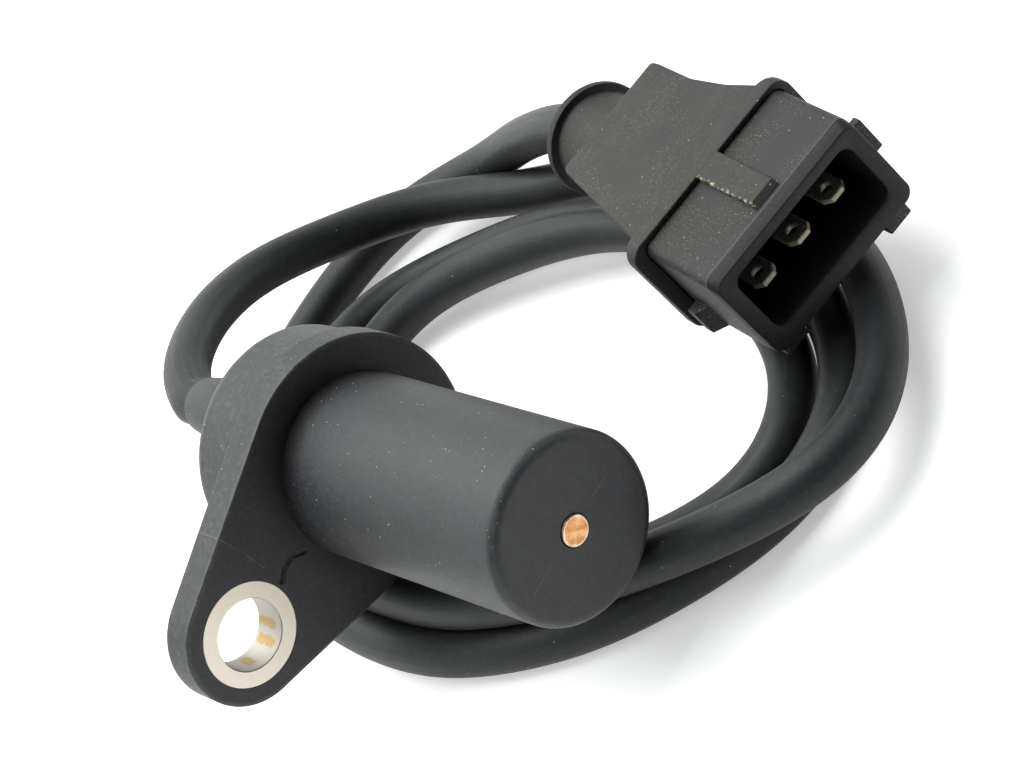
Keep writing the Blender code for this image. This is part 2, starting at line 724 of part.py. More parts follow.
def side_ribs(parts):
    """Wedge low on the near side of the inner body, and the square rib on its far side."""
    root = SHROUD_HALF_W - 0.5 * MM
    out = SHROUD_HALF_W + RIB_NEAR
    outline = [
        (RIB_NEAR_BACK, -root),
        (RIB_NEAR_BACK, -out),
        (RIB_NEAR_FRONT, -out),
        (RIB_NEAR_FOOT, -SHROUD_HALF_W),
        (RIB_NEAR_FOOT, -root),
    ]
    wedge = plate_of("wedge_solid", outline, (RIB_NEAR_HIGH - RIB_NEAR_LOW) / 2, parts)
    wedge.location = (0.0, 0.0, (RIB_NEAR_HIGH + RIB_NEAR_LOW) / 2)
    far = box_of(
        "rib_far_solid",
        (RIB_FAR_BACK, root, RIB_FAR_LOW),
        (RIB_FAR_FRONT, SHROUD_HALF_W + RIB_FAR, RIB_FAR_HIGH),
        parts,
    )
    return [wedge, far]


def key_rib(name, y, drop, parts):
    """Key rib along the underside of the inner body, drop below it."""
    return box_of(
        name,
        (KEY_BACK, y - KEY_W / 2, -SHROUD_HALF_H - drop),
        (KEY_FRONT, y + KEY_W / 2, -SHROUD_HALF_H + 0.5 * MM),
        parts,
    )


def shroud(parts, cutters, frame):
    """Inner body of the connector: mouth with a rim, side and key ribs, and a tail with the tab slots."""
    body = prism_along_x("connector_shroud", SHROUD_HALF_W, SHROUD_HALF_H, 1.0 * MM, -SHROUD_LEN, -0.5 * RIM_T, parts)
    rim = prism_along_x("rim_solid", RIM_HALF_W, (RIM_TOP + RIM_BOTTOM) / 2, 1.3 * MM, -RIM_T, 0.0, parts)
    rim.location = (0.0, 0.0, (RIM_TOP - RIM_BOTTOM) / 2)
    round_edges(rim, 0.3 * MM)
    tail = box_of(
        "tail_solid",
        (-SHROUD_TAIL_END, -SHROUD_TAIL_HALF_W, -SHROUD_TAIL_HALF_H),
        (-SHROUD_LEN + 1.0 * MM, SHROUD_TAIL_HALF_W, SHROUD_TAIL_HALF_H),
        parts,
    )
    mouth = prism_along_x("mouth_cut", MOUTH_HALF_W, MOUTH_HALF_H, MOUTH_ROUND, -MOUTH_DEPTH, 1.0 * MM, parts)
    combine(body, rim, "UNION", cutters)
    combine(body, tail, "UNION", cutters)
    tools = [rim, tail, mouth] + side_ribs(parts) + [
        key_rib("key_far_solid", KEY_FAR_Y, KEY_FAR_DROP, parts),
        key_rib("key_near_solid", KEY_NEAR_Y, KEY_NEAR_DROP, parts),
    ]
    for rib in tools[3:]:
        combine(body, rib, "UNION", cutters)
    combine(body, mouth, "DIFFERENCE", cutters)
    for k in (-1, 0, 1):
        y = k * TAB_PITCH
        slot = box_of(
            "tab_slot_cut",
            (-SHROUD_TAIL_END - 1.0 * MM, y - TAB_W / 2 - PIN_FIT, TAB_Z - TAB_T / 2 - PIN_FIT),
            (-MOUTH_DEPTH + 1.0 * MM, y + TAB_W / 2 + PIN_FIT, TAB_Z + TAB_T / 2 + PIN_FIT),
            parts,
        )
        combine(body, slot, "DIFFERENCE", cutters)
        tools.append(slot)
    place([body] + tools, frame)
    return finish(body, shroud_material())


def tab(k, letter, parts, cutters, frame):
    """Flat terminal tab with a pointed tip and a small hole."""
    y = k * TAB_PITCH
    half = TAB_W / 2
    tip = -TAB_TIP
    outline = [
        (-TAB_END, y - half),
        (tip - 0.9 * MM, y - half),
        (tip, y - 0.55 * half),
        (tip, y + 0.55 * half),
        (tip - 0.9 * MM, y + half),
        (-TAB_END, y + half),
    ]
    obj = plate_of("terminal_tab_" + letter, outline, TAB_T / 2, parts)
    obj.location = (0.0, 0.0, TAB_Z)
    hole = cylinder_of("tab_hole_cut", TAB_HOLE_R, -TAB_T, TAB_T, parts, 20)
    hole.location = (tip - TAB_HOLE_BACK, y, TAB_Z)
    combine(obj, hole, "DIFFERENCE", cutters)
    place([obj, hole], frame)
    return finish(obj, terminal_material())


def grommet(parts, frame):
    """Rubber sleeve with a flared rim, and a neck through the rear wall of the hood."""
    seat = HOOD_REAR + SEAM
    soft = 0.3 * MM
    rim_low = -GROMMET_END + GROMMET_RIM_T
    profile = [
        (GROMMET_BORE_R, -GROMMET_NECK_END),
        (GROMMET_NECK_R, -GROMMET_NECK_END),
        (GROMMET_NECK_R, -seat),
        (GROMMET_R, -seat),
        (GROMMET_R, rim_low + 1.2 * MM),
        (GROMMET_R + 0.25 * MM, rim_low + 0.4 * MM),
        (GROMMET_RIM_R - 0.2 * MM, rim_low),
        (GROMMET_RIM_R, rim_low - soft),
        (GROMMET_RIM_R - 0.15 * MM, -GROMMET_END + 0.1 * MM),
        (GROMMET_RIM_R - 0.5 * MM, -GROMMET_END),
        (GROMMET_CUP_R, -GROMMET_END),
        (GROMMET_CUP_R, -GROMMET_END + GROMMET_CUP_DEPTH),
        (GROMMET_BORE_R, -GROMMET_END + GROMMET_CUP_DEPTH),
    ]
    obj = turned("cable_grommet", profile, parts, 48)
    obj.data.transform(Matrix.Rotation(math.radians(90), 4, "Y"))
    obj.location = (0.0, GROMMET_Y, 0.0)
    place([obj], frame)
    return finish(obj, grommet_material())


def plug_core(k, letter, parts, frame):
    """Cable core from the grommet to the back of one tab."""
    angle = math.radians(90 - 120 * k)
    ry = GROMMET_Y + PLUG_CORE_RING * math.cos(angle)
    rz = PLUG_CORE_RING * math.sin(angle)
    y = k * TAB_PITCH
    start = -TAB_END - SEAM
    bore = -GROMMET_NECK_END
    span = start - bore
    route = [
        (start, y, TAB_Z),
        (start - 0.12 * span, y, TAB_Z),
        (start - 0.30 * span, 0.86 * y + 0.14 * ry, TAB_Z + 0.14 * (rz - TAB_Z)),
        (start - 0.50 * span, 0.50 * y + 0.50 * ry, TAB_Z + 0.50 * (rz - TAB_Z)),
        (start - 0.72 * span, 0.14 * y + 0.86 * ry, TAB_Z + 0.86 * (rz - TAB_Z)),
        (start - 0.90 * span, ry, rz),
        (-GROMMET_END + GROMMET_CUP_DEPTH, ry, rz),
    ]
    obj = tube_of("plug_core_" + letter, route, PLUG_CORE_R, parts, 1)
    place([obj], frame)
    return finish(obj, core_material())


def build():
    """Whole sensor with its cable and connector."""
    clear_scene()
    parts = make_collection(PARTS)
    cutters = make_collection(CUTTERS)
    head = make_frame("head_frame", (SEAT_X, 0.0, 0.0), (0.0, math.radians(90), 0.0), cutters)
    plug = make_frame("plug_frame", (SEAT_X + PLUG_X, PLUG_Y, PLUG_Z), (0.0, 0.0, PLUG_HEADING), cutters)
    housing(parts, cutters, head)
    bush(parts, head)
    magnet_stack(parts, head)
    bobbin_back = coil(parts, head)
    head_wiring(-1, "a", bobbin_back, parts, head)
    head_wiring(1, "b", bobbin_back, parts, head)
    cable(parts)
    hood(parts, cutters, plug)
    shroud(parts, cutters, plug)
    grommet(parts, plug)
    for k, letter in ((-1, "a"), (0, "b"), (1, "c")):
        tab(k, letter, parts, cutters, plug)
        plug_core(k, letter, parts, plug)


build()
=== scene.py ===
# %% [markdown]
# # A rotation sensor on its own loose coil of cable
# The solids of the part come in first, as a fixed frame. Everything made here is a finer skin over
# one of those solids, so the frame gives the places and most of the sizes.

# %% Load the frame and keep its box
import math

import bmesh
import bpy
import numpy as np
from mathutils import Matrix, Vector


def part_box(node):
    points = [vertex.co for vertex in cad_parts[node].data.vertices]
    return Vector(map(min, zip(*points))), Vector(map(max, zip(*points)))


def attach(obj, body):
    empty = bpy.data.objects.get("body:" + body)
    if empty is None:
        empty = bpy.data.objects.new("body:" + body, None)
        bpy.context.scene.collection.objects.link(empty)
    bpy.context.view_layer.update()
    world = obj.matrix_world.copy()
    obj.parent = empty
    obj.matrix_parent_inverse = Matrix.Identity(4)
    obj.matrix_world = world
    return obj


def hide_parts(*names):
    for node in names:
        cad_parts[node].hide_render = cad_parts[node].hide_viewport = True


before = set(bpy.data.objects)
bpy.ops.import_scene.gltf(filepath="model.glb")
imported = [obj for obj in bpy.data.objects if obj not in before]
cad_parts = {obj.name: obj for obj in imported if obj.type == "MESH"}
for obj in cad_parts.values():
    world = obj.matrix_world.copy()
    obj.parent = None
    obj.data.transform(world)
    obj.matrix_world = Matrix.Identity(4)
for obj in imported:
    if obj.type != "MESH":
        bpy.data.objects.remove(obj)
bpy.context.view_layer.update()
MM = 0.001


def box_mm(node):
    """Lowest and highest corner of a solid, in millimetres, as arrays."""
    low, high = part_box(node)
    return np.array(low) / MM, np.array(high) / MM


print("solids:", sorted(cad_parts))

# %% [markdown]
# The boxes of three solids give the seat plane of the mounting plate, from which everything is measured,
# the middle of the ear, and the reach of the barrel, the collar, the bush and the pole pin.

# %% Sizes that the frame gives
bush_low, bush_high = box_mm("mounting_bush")
head_low, head_high = box_mm("sensor_housing")
pin_low, pin_high = box_mm("pole_pin")
SEAT_X = bush_high[0]
SEAT = np.array([SEAT_X, 0.0, 0.0])
EAR_Y = (bush_low[1] + bush_high[1]) / 2
BUSH_R = (bush_high[1] - bush_low[1]) / 2
BUSH_BACK = bush_low[0] - SEAT_X
TIP = head_high[0] - SEAT_X
COLLAR_BACK = head_low[0] - SEAT_X
HUB_R = head_high[2]
PIN_R = (pin_high[1] - pin_low[1]) / 2
PIN_END = pin_high[0] - SEAT_X
print("seat plane at x", round(SEAT_X, 2), "mm, barrel length", round(TIP, 2), "mm, ear at y", round(EAR_Y, 2))

# %% [markdown]
# The photograph was taken with a long lens from above, and the camera was rolled, so that the barrel
# runs down to the right. The camera stands where those lines of sight meet. Its place and its axes
# are given in millimetres from the seat plane of the mounting plate.

# %% Camera
CAMERA_PLACE = (250.9, -57.62, 174.78)
CAMERA_BACK = Vector((0.78338, -0.22913, 0.57777))
CAMERA_UP = Vector((-0.16102, 0.82302, 0.54472))
LENS_MM = 114.44
SENSOR_MM = 36.0


def make_camera():
    """Camera whose axes come from the direction back to it and the direction that is up in the picture."""
    data = bpy.data.cameras.new("photo_camera")
    data.lens = LENS_MM
    data.sensor_width = SENSOR_MM
    data.clip_start = 0.01
    data.clip_end = 10.0
    cam = bpy.data.objects.new("photo_camera", data)
    back = CAMERA_BACK.normalized()
    right = CAMERA_UP.cross(back).normalized()
    up = back.cross(right)
    turn = Matrix((right, up, back)).transposed().to_4x4()
    place = Vector(SEAT) * MM + Vector(CAMERA_PLACE) * MM
    cam.matrix_world = Matrix.Translation(place) @ turn
    bpy.context.scene.collection.objects.link(cam)
    bpy.context.scene.camera = cam
    return cam


camera = make_camera()
print("camera", [round(v, 4) for v in camera.location], "lens", LENS_MM)

# %% [markdown]
# Every skin below is a grid of points: one parameter runs round the piece and the other along it.
# numpy works out the whole grid at once, and one function turns it into a mesh. Where a row of the
# grid shrinks to a point, as at the middle of a disc, its points are merged, so the pole is closed.

# %% Grid to mesh
MERGE_MM = 0.0005
SHARP_ANGLE = math.radians(35)


def mesh_from_grid(name, grid, finish, closed_rows=False, marks=None):
    """Object from a grid of shape (rows, columns, 3) in millimetres, whose columns wrap round.

    A quad joins each point to its neighbours in its own row and the next, and closed_rows joins the last
    row to the first. marks maps the name of a point attribute to its grid of values.
    """
    rows, cols = grid.shape[:2]
    i, j = np.meshgrid(np.arange(rows if closed_rows else rows - 1), np.arange(cols), indexing="ij")
    ni, nj = (i + 1) % rows, (j + 1) % cols
    quads = np.stack([i * cols + j, i * cols + nj, ni * cols + nj, ni * cols + j], axis=-1)
    mesh = bpy.data.meshes.new(name)
    mesh.from_pydata((grid.reshape(-1, 3) * MM).tolist(), [], quads.reshape(-1, 4).tolist())
    for key, values in (marks or {}).items():
        flat = np.asarray(values, dtype=np.float32).ravel()
        vector = len(flat) > rows * cols
        layer = mesh.attributes.new(key, "FLOAT_VECTOR" if vector else "FLOAT", "POINT")
        layer.data.foreach_set("vector" if vector else "value", flat)
    bm = bmesh.new()
    bm.from_mesh(mesh)
    bmesh.ops.remove_doubles(bm, verts=bm.verts, dist=MERGE_MM * MM)
    bmesh.ops.dissolve_degenerate(bm, dist=0.4 * MERGE_MM * MM, edges=bm.edges)
    bmesh.ops.recalc_face_normals(bm, faces=bm.faces)
    bm.to_mesh(mesh)
    bm.free()
    mesh.polygons.foreach_set("use_smooth", np.ones(len(mesh.polygons), dtype=bool))
    mesh.set_sharp_from_angle(angle=SHARP_ANGLE)
    mesh.materials.append(finish)
    obj = bpy.data.objects.new(name, mesh)
    bpy.context.scene.collection.objects.link(obj)
    print(name, len(mesh.vertices), "points,", len(mesh.polygons), "faces")
    return obj


def full_turn(around):
    """Angles of the columns: a full turn in equal steps, without its end, which is its start."""
    return np.linspace(0.0, 2.0 * np.pi, around, endpoint=False)


def turned_grid(profile, around, centre=(0.0, 0.0)):
    """Rings round an axis along X: point (x, r) of the profile becomes (x, y0 + r cos a, z0 + r sin a)."""
    profile = np.array(profile, dtype=float)
    a = full_turn(around)
    x = np.repeat(profile[:, :1], around, axis=1)
    y = centre[0] + profile[:, 1:2] * np.cos(a)
    z = centre[1] + profile[:, 1:2] * np.sin(a)
    return np.stack([x, y, z], axis=-1)


def quarter(steps=5):
    """Quarter turn as pairs (1 - cos, 1 - sin), for rounding an edge."""
    t = np.linspace(0.0, np.pi / 2, steps)
    return np.stack([1.0 - np.cos(t), 1.0 - np.sin(t)], axis=1)


def level_rows(rows, around):
    """Rows of (height, reach, wear) as three grids; a plain number stands for a whole row."""
    return [np.stack([np.broadcast_to(row[k], (around,)) for row in rows]) for k in range(3)]


# %% [markdown]
# ## Materials
# A material starts from the real stuff: what it is called, and how its surface came about. Colours
# are written as the sRGB hex values that a screen shows and turned into the linear values that light
# adds up in. Pattern sizes are real sizes: a noise texture of scale s repeats about s times a metre.
# A finish is built like paint, as a list of layers, each with the place that it covers, its share and
# its colour. The surface's relief is a list too. Every pattern reads Object coordinates, which are the
# frame's own metres here, because each piece keeps its place in its mesh.

# %% Colour, nodes and layers
SHADER = "Principled BSDF"


def linear(code):
    """sRGB hex to linear RGBA: a channel c is c/12.92 below 0.04045, else ((c + 0.055)/1.055)^2.4."""
    channels = [int(code[i : i + 2], 16) / 255.0 for i in (1, 3, 5)]
    return tuple(c / 12.92 if c <= 0.04045 else ((c + 0.055) / 1.055) ** 2.4 for c in channels) + (1.0,)


def add(tree, kind, values=(), output=0, **settings):
    """One output of a new node; values, numbers or other outputs, fill its sockets in order or by key.

    kind is the node's type, with its operation after a space where it has one.
    """
    kind, _, operation = kind.partition(" ")
    node = tree.nodes.new("ShaderNode" + kind)
    if operation:
        node.operation = operation
    for key, value in settings.items():
        setattr(node, key, value)
    for key, value in values.items() if isinstance(values, dict) else enumerate(values):
        if isinstance(value, bpy.types.NodeSocket):
            tree.links.new(value, node.inputs[key])
        else:
            node.inputs[key].default_value = value
    return node.outputs[output]


def new_material(name, values):
    """Material with these values on its Principled shader, and its node tree."""
    mat = bpy.data.materials.new(name)
    mat.use_nodes = True
    for key, value in values.items():
        mat.node_tree.nodes[SHADER].inputs[key].default_value = value
    return mat, mat.node_tree


def painted(tree, base, layers):
    """Colours laid over a base in order: a layer (where, share, colour) covers where * share of it."""
    base = linear(base)
    for where, share, colour in layers:
        cover = add(tree, "Math MULTIPLY", [where, share])
        base = add(tree, "Mix", {0: cover, 6: base, 7: linear(colour)}, 2, data_type="RGBA")
    return base


def relief(tree, layers):
    """Bumps laid on one another: a layer (height, depth_mm, strength) has a height from 0 to 1."""
    skin = {}
    for height, depth_mm, strength in layers:
        values = {"Height": height, "Distance": depth_mm * MM, "Strength": strength, **skin}
        skin = {"Normal": add(tree, "Bump", values)}
    return skin["Normal"]


def finished(mat, colour, normal, roughness=None):
    """The material, once these outputs are linked to its shader."""
    links = {"Base Color": colour, "Normal": normal, "Roughness": roughness}
    for key, value in links.items():
        if value is not None:
            mat.node_tree.links.new(value, mat.node_tree.nodes[SHADER].inputs[key])
    return mat


# %% [markdown]
# Two patterns make nearly all the marks: blotches, which are noise cut to a range, and round specks,
# which are dust. The distance from an axis draws what a lathe or a round seat leaves.

# %% Patterns in millimetres
def per_metre(size_mm):
    """Texture scale of a pattern whose cells are size_mm wide."""
    return 1.0 / (size_mm * MM)


def blotches(tree, coords, size_mm, detail=3.0, rough=0.55, cut=None, distort=0.0):
    """Noise with blobs about size_mm wide; cut is (low, high) and maybe the range that they become."""
    values = {"Vector": coords, "Scale": per_metre(size_mm), "Detail": detail}
    pattern = add(tree, "TexNoise", {**values, "Roughness": rough, "Distortion": distort})
    return add(tree, "MapRange", [pattern, *cut]) if cut else pattern


def specks(tree, coords, cell_mm, speck_mm, share):
    """Small round specks: near a cell's point, in the share of the cells whose random colour is low."""
    cells = add(tree, "TexVoronoi", {"Vector": coords, "Scale": per_metre(cell_mm)}).node.outputs
    radius = speck_mm / cell_mm
    near = add(tree, "MapRange", [cells["Distance"], 0.35 * radius, 0.5 * radius, 1.0, 0.0])
    chosen = add(tree, "Math LESS_THAN", [add(tree, "SeparateColor", [cells["Color"]]), share])
    return add(tree, "Math MULTIPLY", [near, chosen])


def from_axis(tree, coords):
    """Distance from the X axis: the length of (0, y, z)."""
    parts = add(tree, "SeparateXYZ", [coords]).node.outputs
    return add(tree, "VectorMath LENGTH", [add(tree, "CombineXYZ", [0.0, parts[1], parts[2]])], "Value")


# %% [markdown]
# A crack or a scratch is a line on the surface. The distance from any point of the surface to that line
# is worked out in the material, so the line stays where it is on the piece and has the same width on
# every side of an edge that it crosses.

# %% Distance to a line on the surface
def gap_to_line(tree, coords, points):
    """Least distance to the segments between points (mm from the seat plane): |o - clamp(o.d/d.d) d|."""
    least = None
    for start, end in zip(points[:-1], points[1:]):
        a, b = (Vector((SEAT + np.array(k)) * MM) for k in (start, end))
        offset = add(tree, "VectorMath SUBTRACT", [coords, a])
        share = add(tree, "VectorMath DOT_PRODUCT", [offset, (b - a) / (b - a).length_squared], "Value")
        share = add(tree, "MapRange", [share, 0.0, 1.0])
        foot = add(tree, "VectorMath SCALE", {0: b - a, "Scale": share})
        gap = add(tree, "VectorMath DISTANCE", [offset, foot], "Value")
        least = gap if least is None else add(tree, "Math MINIMUM", [least, gap])
    return least


def ragged_line(tree, coords, points, half_mm, wobble_mm, core=0.6):
    """1 within core of the half width, falling to 0 at it; noise moves the edge in and out by the wobble."""
    shift = blotches(tree, coords, 0.5, cut=(0.3, 0.7, -wobble_mm * MM, wobble_mm * MM))
    gap = add(tree, "Math ADD", [gap_to_line(tree, coords, points), shift])
    return add(tree, "MapRange", [gap, core * half_mm * MM, half_mm * MM, 1.0, 0.0])


# %% [markdown]
# ** Glass filled nylon.** The head is moulded from nylon with short glass fibres. The tool's surface is
# smooth, but fibres near the skin leave a fine grain, so the plastic looks satin and a little grey. A
# fibre is about 0.01 mm thick, so the grain is drawn as coarse as it needs to show, 0.22 mm. Corners rub
# lighter, and the back edge of the boss is lighter still, as a painted highlight. Some pale dust sits in
# the grain. Round the barrel's root the colour is darkened as painted shade. The boss and the plate's
# sides are rubbed rough, a short crack runs from the barrel to the bush, and a few hairlines are
# scratched in.

# %% Head nylon
ROOT_R = 9.0
BOSS_BACK = -10.4
NYLON_GRAIN = 0.22
CRACK = [(0.0, -10.0, -0.1), (0.0, -11.12, 0.66), (0.0, -12.0, 0.84), (0.0, -12.8, 0.72), (0.0, -13.7, 0.2)]
HAIRLINES = [
    [(-3.65, -14.3, 8.88), (0.0, -14.3, 8.88), (0.0, -13.9, 5.9), (0.0, -13.8, 2.8)],
    [(TIP, -3.9, 0.2), (TIP, -6.7, 0.05)],
    [(TIP, 5.3, 0.3), (TIP, 1.95, 0.4)],
]


def head_places(tree, coords):
    """Where the collar is, where the rest behind the seat plane is, and the distance from the barrel's root."""
    x = add(tree, "SeparateXYZ", [coords])
    collar_at = SEAT_X + BOSS_BACK - 0.1
    collar = add(tree, "MapRange", [x, collar_at * MM, (collar_at + 0.1) * MM, 1.0, 0.0])
    behind = add(tree, "MapRange", [x, (SEAT_X - 0.3) * MM, (SEAT_X - 0.1) * MM, 1.0, 0.0])
    behind = add(tree, "Math SUBTRACT", [behind, collar])
    ahead = add(tree, "Math SUBTRACT", [x, SEAT_X * MM])
    outside = add(tree, "Math SUBTRACT", [from_axis(tree, coords), ROOT_R * MM])
    root = add(tree, "VectorMath LENGTH", [add(tree, "CombineXYZ", [ahead, outside])], "Value")
    return collar, behind, root


def nylon_material():
    """Satin nylon: painted shade round the root, pitted back, rubbed edges, a painted highlight on the boss's back
    edge, dust, hairlines, and a crack cut as a groove.
    """
    mat, tree = new_material("nylon_glass_filled", {"Specular IOR Level": 0.42})
    coords = add(tree, "TexCoord", output="Object")
    collar, behind, root = head_places(tree, coords)
    grain = blotches(tree, coords, NYLON_GRAIN, 4.0, 0.6)
    cloud = blotches(tree, coords, 3.5, 3.0, 0.5)
    rubbed = add(tree, "Attribute", output="Fac", attribute_name="wear")
    patchy_wear_and_highlight = add(tree, "Math MULTIPLY", [rubbed, blotches(tree, coords, 1.2, cut=(0.35, 0.65, 0.35, 1.0))])
    scuffs = blotches(tree, coords, 0.7, 6.0, 0.75, (0.5, 0.68), 0.3)
    scuffs = add(tree, "Math MULTIPLY", [scuffs, add(tree, "MapRange", [cloud, 0.35, 0.6, 0.15, 0.5])])
    scuffs = add(tree, "Math MULTIPLY", [scuffs, behind])
    dust = add(tree, "Math MAXIMUM", [specks(tree, coords, 0.9, 0.2, 0.3), specks(tree, coords, 0.55, 0.12, 0.2)])
    broken = blotches(tree, coords, 1.0, cut=(0.42, 0.58, 0.03, 0.2))
    crack = ragged_line(tree, coords, CRACK, 0.3, 0.07, 0.1)
    layers = [
        (add(tree, "MapRange", [cloud, 0.3, 0.7]), 1.0, "#26272a"),
        (add(tree, "MapRange", [grain, 0.46, 0.7, 0.0, 0.6]), 1.0, "#404144"),
        (blotches(tree, coords, 0.7, 5.0, 0.7, (0.4, 0.62, 0.45, 0.0)), 1.0, "#131315"),
        # rubbed edges drawn lighter; on the boss's back edge the stronger mark is a painted highlight
        (patchy_wear_and_highlight, 0.45, "#6c6d6f"),
        (behind, 0.3, "#151617"),
        (scuffs, 1.0, "#505255"),
        (blotches(tree, coords, 0.4, 5.0, 0.7, (0.54, 0.66, 0.0, 0.6)), behind, "#17181a"),
        (collar, 0.6, "#1a1b1d"),
        # painted shade round the barrel's root, where the plate shades it
        (add(tree, "MapRange", [root, 0.3 * MM, 3.2 * MM, 0.8, 0.0]), 1.0, "#0c0c0e"),
        (dust, 0.6, "#9c9a96"),
    ]
    layers += [(ragged_line(tree, coords, hairline, 0.08, 0.03), broken, "#8a8a8c") for hairline in HAIRLINES]
    layers += [(add(tree, "MapRange", [crack, 0.2, 0.5]), 1.0, "#010101")]
    groove = add(tree, "Math SUBTRACT", [1.0, crack])
    skin = relief(tree, [(grain, 0.035, 0.8), (scuffs, 0.03, 0.6), (groove, 0.35, 1.0), (dust, 0.03, 0.5)])
    satin = add(tree, "MapRange", [grain, 0.3, 0.8, 0.46, 0.62])
    return finished(mat, painted(tree, "#212225", layers), skin, satin)


# %% [markdown]
# **Cable jacket.** The jacket is extruded, so it is smooth, and what marks it has runs along it. It has
# the sheen of a soft polymer: a broad highlight rather than a sharp one.

# %% Cable jacket
def jacket_material():
    """Soft polymer with lengthwise streaks, which read the jacket's own attribute, and rough spots."""
    mat, tree = new_material("polyurethane_jacket", {"Specular IOR Level": 0.28})
    coords = add(tree, "TexCoord", output="Object")
    run = add(tree, "Attribute", output="Vector", attribute_name="streak")
    streaks = blotches(tree, run, 0.5, 3.0, 0.6)
    spots = blotches(tree, coords, 0.8, 5.0, 0.7)
    dust = specks(tree, coords, 1.3, 0.2, 0.2)
    layers = [
        (blotches(tree, coords, 6.0, 3.0, 0.5, (0.3, 0.7)), 1.0, "#212224"),
        (add(tree, "MapRange", [streaks, 0.5, 0.8, 0.0, 0.3]), 1.0, "#2c2d2e"),
        (add(tree, "MapRange", [spots, 0.52, 0.7, 0.0, 0.45]), 1.0, "#36373a"),
        (dust, 0.6, "#8f9090"),
    ]
    skin = relief(tree, [(spots, 0.03, 0.6), (dust, 0.03, 0.5)])
    sheen = add(tree, "MapRange", [streaks, 0.3, 0.75, 0.45, 0.6])
    return finished(mat, painted(tree, "#1b1c1e", layers), skin, sheen)


# %% [markdown]
# ** Connector plastic.** The hood and the inner body are a matt black moulding with a brown cast, and
# road dust has settled in their grain, so the tops are speckled with brown and ochre. Crumbs of it lie
# along the tongue. The rim is drawn darker and the inside of the mouth gets painted shade, so they look
# blacker, and the line where the rim starts gets a painted highlight. The meshes carry marks for all of these.

# %% Connector plastic
def connector_material(name, dark, light, dirt):
    """Matt moulding in two tones with settled soil, whose share of the colour is dirt."""
    mat, tree = new_material(name, {"Roughness": 0.6, "Specular IOR Level": 0.32})
    coords = add(tree, "TexCoord", output="Object")
    marks = ("wear", "crumbs", "dark_rim_and_hollow_shade", "rim_start_highlight")
    rubbed, crumbs, dark_rim_and_hollow_shade, rim_start_highlight = (add(tree, "Attribute", output="Fac", attribute_name=key) for key in marks)
    grain = blotches(tree, coords, 0.25, 5.0, 0.65)
    patches = blotches(tree, coords, 5.0, cut=(0.4, 0.6))
    soil = add(tree, "Math MULTIPLY", [patches, blotches(tree, coords, 0.24, 4.0, 0.65, (0.54, 0.66))])
    crumbs = add(tree, "MapRange", [crumbs, 0.45, 0.95])
    crumbs = add(tree, "Math MULTIPLY", [crumbs, blotches(tree, coords, 0.5, cut=(0.5, 0.58))])
    fine = add(tree, "Math MULTIPLY", [specks(tree, coords, 0.4, 0.13, 0.35), patches])
    dust = add(tree, "Math MAXIMUM", [specks(tree, coords, 0.8, 0.17, 0.25), crumbs])
    dust = add(tree, "Math MAXIMUM", [dust, add(tree, "Math MULTIPLY", [fine, 0.55])])
    layers = [
        (blotches(tree, coords, 4.0, 4.0, 0.55, (0.3, 0.7)), 1.0, light),
        (add(tree, "MapRange", [grain, 0.54, 0.72, 0.0, 0.35]), 1.0, "#3a3735"),
        (rubbed, 0.22, "#605e5c"),
        (soil, dirt, "#6a5d4e"),
        (blotches(tree, coords, 0.6, 4.0, 0.65, (0.6, 0.7, 0.0, 0.6)), 1.0, "#0f0e0d"),
        (dust, 0.75, "#a99d86"),
        # rim drawn darker, and painted shade inside the mouth and the sleeve's cup
        (dark_rim_and_hollow_shade, 0.9, "#0d0e11"),
        # painted highlight along the line where the rim starts
        (rim_start_highlight, 0.5, "#6a6968"),
    ]
    skin = relief(tree, [(grain, 0.03, 0.7), (add(tree, "Math MAXIMUM", [soil, dust]), 0.04, 0.5)])
    matt = add(tree, "MapRange", [grain, 0.3, 0.8, 0.52, 0.72])
    return finished(mat, painted(tree, dark, layers), skin, matt)


# %% [markdown]
# ** Metals.** The bush is plated steel, turned, so its face has faint rings. Yellow passivation has
# worn off in places and stays as golden patches in the bore. The pole pin is iron under a thin copper
# coloured plating; its edge is painted paler, partly as worn plating and partly as a painted highlight of
# the lit rim. The tabs are brass under tin, and the brass shows at cut edges.

# %% Metals
GOLD_PATCHES = [
    [(-3.7, -17.2, -2.6), (-1.6, -17.2, -2.6)],
    [(-3.3, -18.7, -3.45), (-1.3, -18.7, -3.45)],
    [(-3.0, -21.4, -3.05), (-1.8, -21.4, -3.05)],
]


def bush_material():
    """Pale plating with turned rings, duller in the bore, where golden patches stay."""
    mat, tree = new_material("steel_zinc_plated", {"Roughness": 0.48, "Metallic": 1.0})
    coords = add(tree, "TexCoord", output="Object")
    radius = from_axis(tree, add(tree, "Mapping", [coords, (0.0, -EAR_Y * MM, 0.0)]))
    rings = blotches(tree, add(tree, "CombineXYZ", [radius]), 0.12, 2.0)
    in_bore = add(tree, "MapRange", [radius, (BUSH_R - 1.62) * MM, (BUSH_R - 1.57) * MM, 1.0, 0.0])
    layers = [(add(tree, "MapRange", [rings, 0.35, 0.65]), 1.0, "#d8cfc1"), (in_bore, 1.0, "#9d978e")]
    layers += [(ragged_line(tree, coords, patch, 0.62, 0.2), 0.8, "#987a45") for patch in GOLD_PATCHES]
    layers += [(blotches(tree, coords, 0.5, 4.0, cut=(0.62, 0.75, 0.0, 0.3)), 1.0, "#a39d94")]
    return finished(mat, painted(tree, "#cfc6b8", layers), relief(tree, [(rings, 0.004, 0.3)]))


